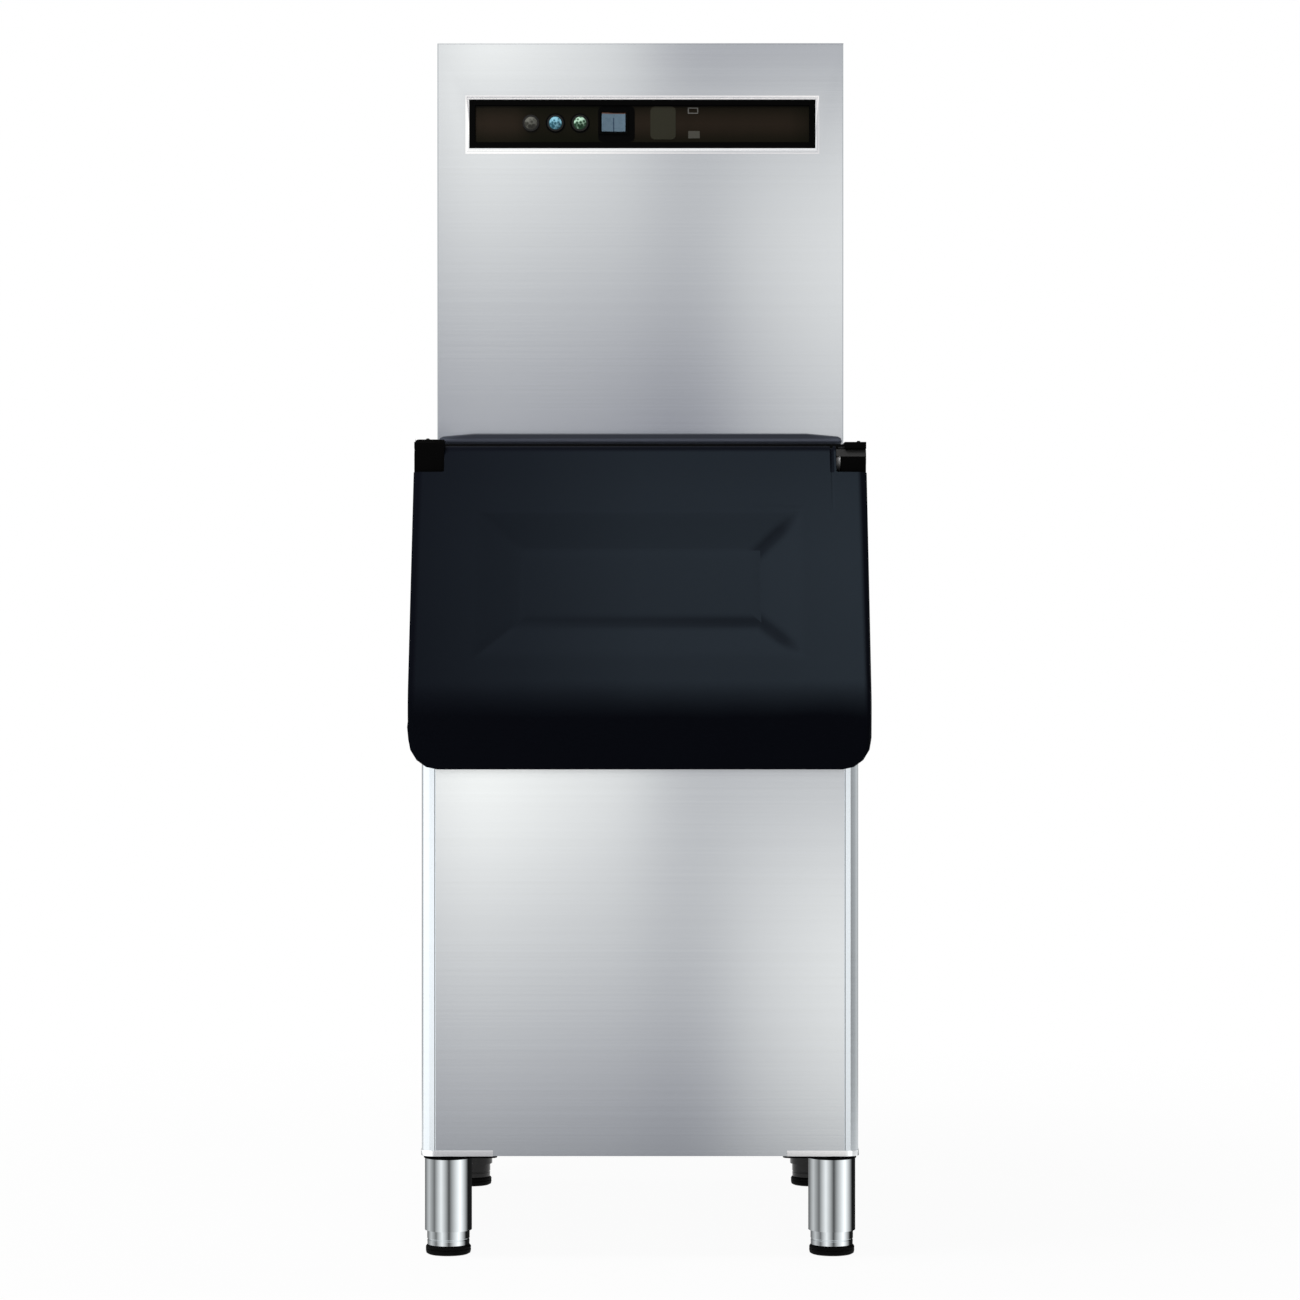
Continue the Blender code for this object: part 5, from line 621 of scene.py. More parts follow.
def lid_finish():
    """Textured black plastic with painted light and shade: lighter where it faces up, painted shade round
    its nose, at its side edges and at its top, darker towards its left side, and painted shade in the sunk
    panel's creases and in the groove.
    """
    finish = Finish("lid_black")
    pebbles = finish.noise(grey(700.0), 2.0)
    haze = finish.noise(grey(9.0), 3.0)
    across = finish.axis("X")
    back, height = finish.axis("Y") - FRONT_Y, finish.axis("Z") - SILL_Z
    rise = back * math.sin(MOUTH_ANGLE) + height * math.cos(MOUTH_ANGLE)
    width = across * (0.5 / LID_HALF) + 0.5
    # painted shade: darker towards the nose and skirt, lighter on the face that looks up
    nose_shade = ((rise + NOSE_SHADE_START) * (1 / NOSE_SHADE_LENGTH) + haze * 0.3 - 0.15).limited()
    # painted shade: dark strips at both side edges
    edge = ((LID_HALF - EDGE_DARK - abs(across)) * (1 / EDGE_FADE)).limited()
    # painted shade: darker towards the barrel at the top
    top = ((LID_TOP_UP - rise) * (1 / TOP_SHADE_LENGTH)).limited()
    # painted shade: darker towards the left side, and darker towards the top
    side_shade = finish.ramp(width, (0.0, 0.15), (0.25, 0.37), (0.5, 0.67), (0.8, 0.82), (0.95, 0.96))
    shaded = finish.ramp(rise * 2.5, (0.48, 1.0), (0.70, 0.88), (0.88, 0.72))
    side = RELIEF_HALF - abs(across)
    end = (rise - RELIEF_FOOT).smaller(RELIEF_TOP - rise)
    inward = side.smaller(end)
    foot = abs(rise - RELIEF_FOOT - RELIEF_BORDER) + (end > side)
    mitre = abs(side - end) * math.sqrt(0.5) + (inward > RELIEF_BORDER) + (across < 0.0)
    # painted shade: dark lines in the sunk panel's creases, strongest towards the right
    crease = finish.ramp(foot.smaller(mitre) * 40.0, (0.0, 1.0), (0.22, 0.86), (0.42, 0.25), (0.60, 0.0))
    crease = crease * finish.ramp(inward * 20.0, (0.2, 0.0), (0.6, 1.0))
    strength = finish.ramp(width, (0.15, 0.0), (0.35, 0.30), (0.7, 0.55))
    # painted shade: the groove beside the barrel is darker
    groove = (abs(across - (GROOVE_FROM + GROOVE_TO) / 2) < 0.0030) * (rise > NOTCH_UP)
    tone = nose_shade * edge * top * side_shade * shaded * (1.0 - crease * strength) * (1.0 - groove * 0.75)
    return finish.surface(
        Base_Color=finish.mix(tone, (0.0030, 0.0036, 0.0060), (0.0210, 0.0278, 0.0360)),
        Roughness=0.46 + haze * 0.08,
        Specular_IOR_Level=0.012,
        Normal=finish.bump(pebbles, 0.00005),
    )


LID_BLACK = lid_finish()


def lid_dressed():
    """The lid with a soft sunk panel, sides that lean in, short barrel ends and a groove beside one."""
    bm = merged("lid_shell")
    soften(bm, 0.0015, 50, 2)
    slice_lid(bm)
    axis = Vector((0, HINGE_Y, HINGE_Z))
    groove_start, groove_end = GROOVE_FROM + GROOVE_SLOPE / 2, GROOVE_TO - GROOVE_SLOPE / 2
    for vert in bm.verts:
        x = abs(vert.co.x)
        up, out = mouth_place(vert.co)
        beyond = x - (LID_HALF - LID_CORNER)
        below = max(LID_FOOT_Z + LID_CORNER - vert.co.z, 0.0)
        if beyond > 0 and math.hypot(beyond, below) > LID_CORNER - 0.0018:
            vert.co.x -= math.copysign(SIDE_DRAFT * (1 - up / NOTCH_UP) * beyond / LID_CORNER, vert.co.x)
        if x < RELIEF_HALF and RELIEF_FOOT < up < RELIEF_TOP:
            if abs(LID_FACE_OUT - sharp_depth(x, up) - out) < 0.0012:
                vert.co += MOUTH_OUT * (LID_FACE_OUT - soft_depth(x, up) - out)
        elif up > NOTCH_UP and x > BARREL_END - 0.002:
            vert.co.x = math.copysign(BUSH_START - 0.0004 - (BARREL_END - x), vert.co.x)
        elif up > NOTCH_UP and groove_start < vert.co.x < groove_end and out > 0.02:
            inward = axis - vert.co
            inward.x = 0
            vert.co += inward.normalized() * GROOVE_DEPTH
    piece("lid_shell_dressed", bm, "lid", SLOTS["lid_shell"], LID_BLACK, stands_for=("lid_shell",))


lid_dressed()


# Hinges
BLOCK_END, HOOD_END = 0.3098, 0.3099
LEDGE_LENGTH = 0.0066
BUSH_TOP = 0.0034


def knuckle_block(sign, start, end, profile):
    """A bar of one section along the hinge."""
    bm = bmesh.new()
    section = [bm.verts.new((sign * start, HINGE_Y + y, HINGE_Z + z)) for y, z in profile]
    made = bmesh.ops.extrude_face_region(bm, geom=[bm.faces.new(section)])
    moved = [item for item in made["geom"] if isinstance(item, bmesh.types.BMVert)]
    bmesh.ops.translate(bm, vec=(sign * (end - start), 0, 0), verts=moved)
    bmesh.ops.recalc_face_normals(bm, faces=bm.faces)
    return bm


def paint_light_on_slopes(bm):
    """Gives the faces that slope up to the front the lighter black: painted light where they face up into
    the light.
    """
    for face in bm.faces:
        if face.normal.y < -0.3 and face.normal.z > 0.3:
            face.material_index = 1


def hinge_right():
    """A block under a sloping ledge whose upward slopes carry painted light, and the pale edge of the bush
    beneath the ledge.
    """
    bm = knuckle_block(1, BUSH_START + LEDGE_LENGTH - 0.0004, BLOCK_END, [
        (0.004, -0.0196), (-0.0170, -0.0196), (-0.0176, 0.0028), (-0.0128, 0.0128), (0.004, 0.0128),
    ])
    soften(bm, 0.0007, 25)
    paint_light_on_slopes(bm)
    piece("hinge_cover_right", bm, "machine", "black_moulding", SHADED_BLACK, PAINTED_LIGHT_BLACK)
    bm = knuckle_block(1, BUSH_START, BUSH_START + LEDGE_LENGTH, [
        (-0.004, 0.0026), (-0.0179, 0.0026), (-0.0130, 0.0128), (-0.004, 0.0128),
    ])
    soften(bm, 0.0004, 25)
    paint_light_on_slopes(bm)
    piece("hinge_ledge_right", bm, "machine", "black_moulding", SHADED_BLACK, PAINTED_LIGHT_BLACK)
    ring = [
        (0.0146, 0.0), (0.0172, 0.0044), (0.0172, 0.0056), (0.0130, 0.0056), (0.0130, 0.0), (0.0146, 0.0),
    ]
    bm = turned(ring, (0, 0, 0), "X", 48)
    slice_at(bm, (0, 0, BUSH_TOP), (0, 0, 1), clear_outer=True, nearest=0.0)
    bmesh.ops.holes_fill(bm, edges=[edge for edge in bm.edges if edge.is_boundary])
    bmesh.ops.translate(bm, vec=(BUSH_START, HINGE_Y, HINGE_Z), verts=bm.verts)
    piece("hinge_bush_right", bm, "machine", "black_moulding", BUSH_GREY)


def hinge_left():
    """A black hood over the knuckle with one rounded shoulder."""
    bm = knuckle_block(-1, BUSH_START, HOOD_END, [
        (0.004, -0.0196), (-0.0188, -0.0196), (-0.0188, 0.0186), (-0.0150, 0.0262),
        (0.0155, 0.0262), (0.0155, 0.0222), (0.004, 0.0222),
    ])
    outer = [
        edge for edge in bm.edges
        if all(vert.co.x < 0.0001 - HOOD_END and vert.co.z > HINGE_Z + 0.018 for vert in edge.verts)
    ]
    bevel(bm, outer, 0.0060, steps=5)
    soften(bm, 0.0008, 30)
    # painted shade: the hood takes the darker copy of the black
    piece("hinge_cover_left", bm, "machine", "black_moulding", SHADED_BLACK)


def cap_screws(side, x, rise, places):
    """Two small heads on top of a hinge's cover."""
    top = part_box(f"hinge_bracket_{side}")[1].z + rise
    spots = [(x, HINGE_Y + y, top) for y in places]
    screw_heads(f"hinge_cap_screws_{side}", spots, (0, 0, 1), "machine", "black_moulding", 0.0026)


# Screws
def screw_heads(name, places, outward, body, slot, radius=0.0042):
    """Domed heads with a sunk drive, all on one surface."""
    profile = [
        (0, 0.0006), (radius * 0.30, 0.0006), (radius * 0.34, 0.0019), (radius * 0.75, 0.0017),
        (radius, 0.0006), (radius, -0.0002),
    ]
    turn = Vector((0, 0, 1)).rotation_difference(Vector(outward)).to_matrix().to_4x4()
    heads = bmesh.new()
    for place in places:
        head = turned(profile, (0, 0, 0), "Z", 14)
        bmesh.ops.transform(head, matrix=Matrix.Translation(place) @ turn, verts=head.verts)
        gather(heads, head)
    return piece(name, heads, body, slot)


hinge_left()
hinge_right()
cap_screws("left", -0.292, 0.0034, (-0.006, 0.010))
cap_screws("right", 0.300, 0.0, (-0.008, 0.012))


# Steel cabinets
def bright_bevel(bm):
    """The window's pressed edge: polished, and longer at its foot."""
    foot = WINDOW_Z - WINDOW_HEIGHT / 2
    for vert in bm.verts:
        if abs(vert.co.z - foot) < 0.0005 and vert.co.y < HEAD_FRONT_Y + 0.0002:
            vert.co.z -= BEVEL_FOOT
    bm.normal_update()
    for face in bm.faces:
        slanted = 0.3 < abs(face.normal.y) < 0.95
        if slanted and abs(face.calc_center_median().x) < 0.26:
            face.material_index = 1


def shaded_plate(bm):
    """A leg's mounting plate takes the darker black under its bright lip, painted shade where the bin
    shades it.
    """
    for face in bm.faces:
        if face.calc_center_median().z > PLATE_FOOT_Z:
            face.material_index = 1


def header_finish():
    """The black bar under the head, with painted light and shade: a soft pale painted highlight across its
    middle height, and painted shade, black, at its foot.
    """
    finish = Finish("header_black")
    low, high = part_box("bin_header_trim")
    haze = finish.noise((5.0, 5.0, 60.0), 2.0)
    height = (finish.axis("Z") - low.z) * (1 / (high.z - low.z))
    # painted highlight across its middle height, painted shade towards its foot
    painted_light_band = finish.ramp(
        height + haze * 0.08 - 0.04,
        (0.02, 0.20), (0.13, 0.55), (0.30, 1.0), (0.44, 0.80), (0.60, 0.24), (0.95, 0.168),
    )
    return finish.surface(
        Base_Color=finish.mix(painted_light_band, (0.002, 0.003, 0.005), (0.108, 0.120, 0.158)),
        Roughness=0.34 + haze * 0.06,
        Specular_IOR_Level=0.15,
        Normal=finish.bump(haze, 0.00004),
    )


def lift_ends(bm):
    """The header's ends drop only a little below its middle."""
    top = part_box("bin_header_trim")[1].z
    for vert in bm.verts:
        if abs(vert.co.x) > HEADER_END_X and top - 0.0100 < vert.co.z < top - 0.0060:
            vert.co.z += HEADER_END_LIFT


def widen_mouth_corners(bm):
    """The mouth's lower corners follow the tub's corners, which are longer on the slope."""
    foot = Vector((0, FRONT_Y, SILL_Z))
    for turn in range(1, 16):
        up = MOUTH_SILL_UP + MOUTH_CORNER * (1 - math.cos(turn * math.pi / 32))
        slice_at(bm, foot + MOUTH_UP * up, MOUTH_UP)
    for vert in bm.verts:
        beyond = abs(vert.co.x) - (MOUTH_HALF - MOUTH_CORNER)
        below = MOUTH_SILL_UP + MOUTH_CORNER - mouth_place(vert.co)[0]
        if beyond > -0.0001 and below > -0.0001 and 0.97 < math.hypot(beyond, below) / MOUTH_CORNER < 1.003:
            turn = math.atan2(beyond, below)
            across = MOUTH_HALF - TUB_CORNER * (1 - math.sin(turn))
            rise = MOUTH_SILL_UP + TUB_CORNER_RISE * (1 - math.cos(turn))
            vert.co += MOUTH_UP * (rise - mouth_place(vert.co)[0])
            vert.co.x = math.copysign(across, vert.co.x)


def deck_seal():
    """A black strip over the deck's front edge, below the header."""
    low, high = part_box("bin_top_deck")
    strip = block(
        (-SEAL_HALF, low.y - 0.0010, low.z - 0.0002), (SEAL_HALF, low.y + 0.0050, high.z + 0.0005), 0.0004
    )
    # painted shade: the strip takes the darker copy of the black
    piece("deck_seal", strip, "machine", "black_rubber", SHADED_BLACK)


PLATE_FOOT_Z = 0.1342
HEADER_END_X, HEADER_END_LIFT = 0.279, 0.0042
SEAL_HALF = 0.2715
MOUTH_HALF, MOUTH_CORNER = 0.2520, 0.030
MOUTH_SILL_UP = 0.0405 / math.sin(MOUTH_ANGLE)
TUB_CORNER, TUB_CORNER_RISE = 0.041, 0.084
STEEL = FINISHES["stainless"]
HEAD_FRONT_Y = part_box("head_front_panel")[0].y
WINDOW_Z, WINDOW_HEIGHT = 1.5488, 0.078
BEVEL_FOOT = 0.0030
dressed("head_front_panel", 0.0, 35, STEEL, EDGE_STEEL, shape=bright_bevel)
for side in ("left", "right"):
    dressed(f"head_{side}_side_panel")
    dressed(f"bin_{side}_side_panel")
    # painted shade: the hinge brackets and, below, the legs' plates take the darker copy of the black
    dressed(f"hinge_bracket_{side}", 0.0008, 35, SHADED_BLACK)
    for row in ("front", "rear"):
        look = TUBE_STEEL if row == "front" else FINISHES["black_enamel"]
        dressed(f"leg_{row}_{side}", 0.0006, 35, look, SHADED_BLACK, shape=shaded_plate)
dressed("head_top_panel", 0.0, 35, TOP_STEEL)
dressed("bin_front_panel")
dressed("bin_header_trim", 0.0060, 35, header_finish(), shape=lift_ends)
# painted shade: the mouth trim takes the darker copy of the black
dressed("bin_mouth_trim", 0.0008, 35, SHADED_BLACK, shape=widen_mouth_corners)
deck_seal()
dressed("bin_liner")
dressed("lid_liner", 0.0008)
dressed("control_bezel", 0.0006, 35, WINDOW_BLACK)
dressed("control_lens", 0.0003)
dressed("rocker_housing", 0.0004, 35, WINDOW_BLACK)
dressed("rocker_key", 0.0005)
for colour in ("blue", "green", "grey"):
    dressed(f"lamp_{colour}", 0.0004)
dressed("inlet_valve", 0.0005)
dressed("power_gland", 0.0005)
dressed("bin_drain", 0.0005)


# Legs and feet
LIP_FOOT_Z, LIP_HEIGHT, LIP_THICKNESS = 0.1386, 0.0078, 0.0011
LIP_REACH, LIP_RADIUS = 0.096, 0.0182


def feet():
    """Each foot as a black pad under a grooved plug, the front ones bright."""
    enamel = FINISHES["black_enamel"]
    for row, look, slot in (("front", TUBE_STEEL, "chrome"), ("rear", enamel, "black_enamel")):
        for side in ("left", "right"):
            node = f"foot_{row}_{side}"
            centre = centre_of(node)
            place = (centre.x, centre.y, 0)
            pad = [
                (0, 0.0006), (0.012, 0.0006), (0.014, 0), (0.0272, 0), (0.0297, 0.0014), (0.0305, 0.0046),
                (0.0305, 0.0066), (0.0298, 0.0070), (0.0298, 0.0075), (0.0305, 0.0079),
                (0.0305, 0.0100), (0.0294, 0.0117), (0.0270, 0.0122), (0, 0.0122),
            ]
            piece(f"foot_pad_{row}_{side}", turned(pad, place, steps=48), node, "black_rubber")
            plug = [
                (0, 0.0123), (0.0268, 0.0123), (0.0283, 0.0131), (0.0285, 0.0190), (0.0278, 0.0195),
                (0.0278, 0.0208), (0.0287, 0.0214), (0.0287, 0.0500), (0.0270, 0.0520), (0.0060, 0.0520),
                (0.0060, 0.0900), (0, 0.0900),
            ]
            bm = turned(plug, place, steps=48)
            piece(f"foot_plug_{row}_{side}", bm, node, slot, look, stands_for=(node,))


def leg_lips():
    """The front legs' plates turn up round the bin's corner in a narrow bright lip."""
    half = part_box("bin_front_panel")[1].x + 0.018
    front = FRONT_Y - 0.0002
    inset_x, inset_y = half - LIP_RADIUS, front + LIP_RADIUS
    for side, sign in (("left", -1), ("right", 1)):
        corner = [
            (inset_x + LIP_RADIUS * math.sin(turn), inset_y - LIP_RADIUS * math.cos(turn))
            for turn in (step * math.pi / 16 for step in range(9))
        ]
        route = [(half - LIP_REACH, front)] + corner + [(half, front + LIP_REACH)]
        bm = bmesh.new()
        foot = [bm.verts.new((sign * x, y, LIP_FOOT_Z)) for x, y in route]
        edges = [bm.edges.new(pair) for pair in zip(foot, foot[1:])]
        made = bmesh.ops.extrude_edge_only(bm, edges=edges)
        top = [item for item in made["geom"] if isinstance(item, bmesh.types.BMVert)]
        bmesh.ops.translate(bm, vec=(0, 0, LIP_HEIGHT), verts=top)
        bmesh.ops.recalc_face_normals(bm, faces=bm.faces)
        outward = sum((face.normal.y for face in bm.faces), 0.0) < 0
        if not outward:
            bmesh.ops.reverse_faces(bm, faces=bm.faces)
        bmesh.ops.solidify(bm, geom=bm.faces[:], thickness=-LIP_THICKNESS)
        bmesh.ops.recalc_face_normals(bm, faces=bm.faces)
        soften(bm, 0.0004, 40)
        piece(f"leg_lip_{side}", bm, "machine", "stainless", EDGE_STEEL)


def leg_shadow_collars():
    """A black rubber collar round the top of each front leg, under its plate, which also stands in as a
    painted shadow for the shade the plate casts on the tube.
    """
    ring = [
        (0.0315, 0.1296), (0.0328, 0.1298), (0.0331, 0.1308), (0.0331, 0.1352), (0.0315, 0.1352),
        (0.0315, 0.1296),
    ]
    for side in ("left", "right"):
        leg = centre_of(f"foot_front_{side}")
        bm = turned(ring, (leg.x, leg.y, 0), steps=48)
        piece(f"leg_shadow_collar_{side}", bm, "machine", "black_rubber")


feet()
leg_lips()
leg_shadow_collars()


# Marks on the window: left, right, foot and top of each
ROCKER_PLATE = (-0.0590, -0.0080, 1.5242, 1.5740)
PATCH = (0.0140, 0.0492, 1.5275, 1.5735)
UPPER_MARK = (
    (0.0662, 0.0806, 1.5706, 1.5718), (0.0662, 0.0806, 1.5634, 1.5646),
    (0.0662, 0.0674, 1.5646, 1.5706), (0.0794, 0.0806, 1.5646, 1.5706),
)
LOWER_MARK = (0.0668, 0.0828, 1.5290, 1.5392)


def window_plate(span, lens_y, proud, sunk, width=0.0):
    """A thin upright plate that stands so far out of the window's face and goes so far into it."""
    left, right, foot, top = span
    return block((left, lens_y - proud, foot), (right, lens_y + sunk, top), width)


def cut_corners(bm, width):
    """Cuts the corners of an upright plate that faces the front."""
    corners = [edge for edge in bm.edges if abs(edge.verts[0].co.y - edge.verts[1].co.y) > 0.0002]
    bevel(bm, corners, width)


def rocker_surround(lens_y):
    """A black plate round the rocker's frame."""
    bm = window_plate(ROCKER_PLATE, lens_y, 0.0003, 0.0003)
    cut_corners(bm, 0.0060)
    low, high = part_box("rocker_housing")
    for place in (low, high):
        slice_at(bm, place, (1, 0, 0))
        slice_at(bm, place, (0, 0, 1))
    middle = [
        face for face in bm.faces
        if abs(face.normal.y) > 0.9
        and low.x < face.calc_center_median().x < high.x and low.z < face.calc_center_median().z < high.z
    ]
    bmesh.ops.delete(bm, geom=middle, context="FACES")
    bmesh.ops.bridge_loops(bm, edges=[edge for edge in bm.edges if edge.is_boundary])
    bmesh.ops.recalc_face_normals(bm, faces=bm.faces)
    piece("rocker_surround", bm, "machine", "black_moulding", WINDOW_BLACK)


def lamp_rings(lens_y):
    """A black ring in the window round each lit lamp."""
    ring = [
        (0.0112, -0.0004), (0.0112, 0.0003), (0.0126, 0.0005), (0.0136, 0.0002), (0.0136, -0.0004),
        (0.0112, -0.0004),
    ]
    for colour in ("blue", "green"):
        middle = centre_of(f"lamp_{colour}")
        bm = turned(ring, (middle.x, lens_y, middle.z), "Y", 40)
        piece(f"lamp_ring_{colour}", bm, "machine", "black_moulding", WINDOW_BLACK)


def window_marks():
    """The rocker's plate, the lamps' rings, the olive patch and the two small marks."""
    lens_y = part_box("control_lens")[0].y
    rocker_surround(lens_y)
    lamp_rings(lens_y)
    patch = window_plate(PATCH, lens_y, 0.00025, 0.0005)
    cut_corners(patch, 0.0055)
    piece("window_patch", patch, "machine", "black_moulding", PRINT_BROWN)
    outline = bmesh.new()
    for line in UPPER_MARK:
        gather(outline, window_plate(line, lens_y, 0.0002, 0.0003, 0.0001))
    piece("window_mark_upper", outline, "machine", "black_moulding", PRINT_PALE)
    mark = window_plate(LOWER_MARK, lens_y, 0.0002, 0.0003, 0.0001)
    piece("window_mark_lower", mark, "machine", "black_moulding", PRINT_DIM)


window_marks()


# Screws on the back
def back_screws():
    """Screws round the head's back panel and down both sides of the bin's."""
    low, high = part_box("head_back_panel")
    across = (low.x + 0.008, 0.0, high.x - 0.008)
    middle = (low.z + high.z) / 2
    places = [(x, high.y, z) for x in across for z in (low.z + 0.012, high.z - 0.012)]
    places += [(x, high.y, middle) for x in (across[0], across[2])]
    screw_heads("head_back_screws", places, (0, 1, 0), "machine", "stainless")
    low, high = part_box("bin_back_panel")
    rise = (high.z - low.z - 0.06) / 3
    places = [
        (x, high.y, low.z + 0.03 + step * rise)
        for x in (low.x + 0.012, high.x - 0.012)
        for step in range(4)
    ]
    screw_heads("bin_back_screws", places, (0, 1, 0), "machine", "stainless")


back_screws()


# Drain strainer
BAR_SPACING, BAR_REACH, BAR_HALF = 0.003, 0.0112, 0.0006


def drain_strainer():
    """A ring with crossed bars over the drain, inside the tub."""
    low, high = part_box("bin_drain")
    place = ((low.x + high.x) / 2, low.y, (low.z + high.z) / 2)
    ring = [
        (0.0105, 0.0006), (0.0125, 0.0010), (0.0145, 0.0006), (0.0145, -0.0004), (0.0105, -0.0004),
        (0.0105, 0.0006),
    ]
    bm = turned(ring, place, "Y", 32)
    for step in range(-3, 4):
        shift = step * BAR_SPACING
        reach = math.sqrt(BAR_REACH ** 2 - shift ** 2)
        for upright in (False, True):
            wide, tall = (BAR_HALF, reach) if upright else (reach, BAR_HALF)
            x, z = (place[0] + shift, place[2]) if upright else (place[0], place[2] + shift)
            gather(bm, block((x - wide, low.y - 0.0004, z - tall), (x + wide, low.y + 0.0004, z + tall)))
    piece("drain_strainer", bm, "machine", "grey_moulding")


drain_strainer()


# Studio
FLOOR_HALF = 30.0


def floor_finish():
    """Pale paper that keeps the shadow, and shows as white."""
    finish = Finish("studio_floor")
    across, along = finish.axis("X"), finish.axis("Y")
    reach = (across * across + along * along).maths("SQRT")
    far = finish.ramp(reach * 0.25, (0.0, 0.0), (0.2, 0.1), (0.4, 0.7), (0.6, 1.0))
    grain = finish.noise(grey(30.0), 2.0)
    paper = finish.node("BsdfDiffuse", sockets={"Color": finish.mix(grain, grey(0.60), grey(0.66))})
    white = finish.node("Emission", sockets={"Color": grey(1.0), "Strength": 1.0})
    share = finish.seen_directly() * (0.95 + far * 0.05)
    return finish.close(finish.node("MixShader", sockets={0: share, 1: paper, 2: white}))


def stage_mesh(name, bm, finish):
    """Turns a bmesh into a thing of the studio, which isn't part of the machine."""
    mesh = bpy.data.meshes.new(name)
    bm.to_mesh(mesh)
    bm.free()
    mesh.materials.append(finish)
    made = bpy.data.objects.new(name, mesh)
    bpy.context.scene.collection.objects.link(made)
    return made


def stage_plane(name, corners, finish):
    bm = bmesh.new()
    bm.faces.new([bm.verts.new(corner) for corner in corners])
    return stage_mesh(name, bm, finish)


def studio_floor():
    half = FLOOR_HALF
    corners = ((-half, -half, 0), (half, -half, 0), (half, half, 0), (-half, half, 0))
    stage_plane("studio_floor", corners, floor_finish())


def reflection_finish(name, drawn, rows, right_gain):
    """A soft light sheet for the steel to mirror: bright at the upper left, dim right of the middle."""
    finish = Finish(name)
    low, high = drawn
    fall = 1.0 - (finish.axis("Z") - low) * (1 / (high - low))
    across = finish.axis("X") * (0.5 / SHEET_PATTERN_HALF) + 0.5
    left = finish.ramp(
        across, (0.0, 0.50), (0.13, 1.0), (0.34, 0.66), (0.46, 0.52), (0.56, 0.08), (0.62, 0.0)
    )
    right = finish.ramp(across, (0.58, 0.0), (0.65, 0.12), (0.74, 0.55), (0.84, 0.80), (0.95, 1.0))
    base = finish.ramp(fall, *rows)
    left_fall = finish.ramp(fall, (0.0, 1.0), (0.10, 0.84), (0.28, 0.44), (0.6, 0.20), (1.0, 0.20))
    right_fall = finish.ramp(fall, (0.0, 0.0), (0.3, 0.32), (0.55, 0.52), (1.0, 0.52))
    level = base + left * left_fall + right * right_fall * right_gain
    unclamped = {"data_type": "RGBA", "clamp_factor": False}
    tint = finish.node("Mix", unclamped, {0: level, 6: SHADE_TINT, 7: BRIGHT_TINT}, out=2)
    glow = finish.node("Emission", sockets={"Color": tint, "Strength": 1.0})
    fade = finish.ramp(abs(finish.axis("X")) * (1 / SHEET_HALF), (0.80, 1.0), (1.0, 0.0))
    clear = finish.node("BsdfTransparent")
    return finish.close(finish.node("MixShader", sockets={0: fade, 1: clear, 2: glow}))


SHEET_HALF = 0.56
SHEET_PATTERN_HALF = 0.36
SHADE_TINT, BRIGHT_TINT = (0.0, 0.014, 0.10), (1.035, 1.0, 0.985)
HEAD_ROWS = ((0.0, 0.56), (0.26, 0.84), (0.55, 0.75), (0.80, 0.52), (1.0, 0.30))
BIN_ROWS = ((0.0, 0.84), (0.12, 0.77), (0.26, 0.82), (0.55, 0.745), (0.80, 0.54), (1.0, 0.35))


def reflection_sheet(name, y, span, drawn, rows, right_gain):
    """An upright sheet; its rows of tone are drawn over a part of its height."""
    half = SHEET_HALF
    foot, top = span
    corners = ((-half, y, foot), (half, y, foot), (half, y, top), (-half, y, top))
    glossy_only(stage_plane(name, corners, reflection_finish(name, drawn, rows, right_gain)))


def reflection_floor():
    """A dim sheet laid before the bin, so that its foot mirrors a darker floor."""
    finish = Finish("floor_sheet")
    across = abs(finish.axis("X")) * (1 / SHEET_HALF)
    fade = finish.ramp(across, (0.5, 1.0), (1.0, 0.0))
    dim = finish.node("Emission", sockets={"Color": grey(1.0), "Strength": 0.3})
    sheet = finish.node("MixShader", sockets={0: fade, 1: finish.node("BsdfTransparent"), 2: dim})
    half, near, far, rise = SHEET_HALF, -1.2, -0.40, 0.003
    corners = ((-half, near, rise), (half, near, rise), (half, far, rise), (-half, far, rise))
    glossy_only(stage_plane("floor_sheet", corners, finish.close(sheet)))


STRIP_FOOT, STRIP_TOP = 0.01, 0.72


def strip_light(name, x, reach, strength):
    """An upright strip beside the bin's front corner, for its round edge to mirror."""
    finish = Finish(name)
    fade = finish.ramp(finish.axis("Z"), (0.0, 0.9), (0.5, 1.0), (0.75, 1.0))
    glow = finish.node("Emission", sockets={"Color": fade, "Strength": strength})
    near, far = reach
    corners = ((x, near, STRIP_FOOT), (x, far, STRIP_FOOT), (x, far, STRIP_TOP), (x, near, STRIP_TOP))
    glossy_only(stage_plane(name, corners, finish.close(glow)))


def ring_finish(name, centre, stops, rise=()):
    """A glow that changes with the direction from a centre; clear from outside."""
    finish = Finish(name)
    turn = (finish.axis("X") - centre[0]).maths("ARCTAN2", (finish.axis("Y") - centre[1]) * -1.0)
    glow = finish.ramp(turn * (1 / math.tau) + 0.5, *[(angle / 360 + 0.5, level) for angle, level in stops])
    if rise:
        glow = glow * finish.ramp(finish.axis("Z") * 0.4, *rise)
    light = finish.node("Emission", sockets={"Color": glow, "Strength": 1.0})
    outside = finish.node("NewGeometry", out="Backfacing")
    clear = finish.node("BsdfTransparent")
    return finish.close(finish.node("MixShader", sockets={0: outside, 1: light, 2: clear}))


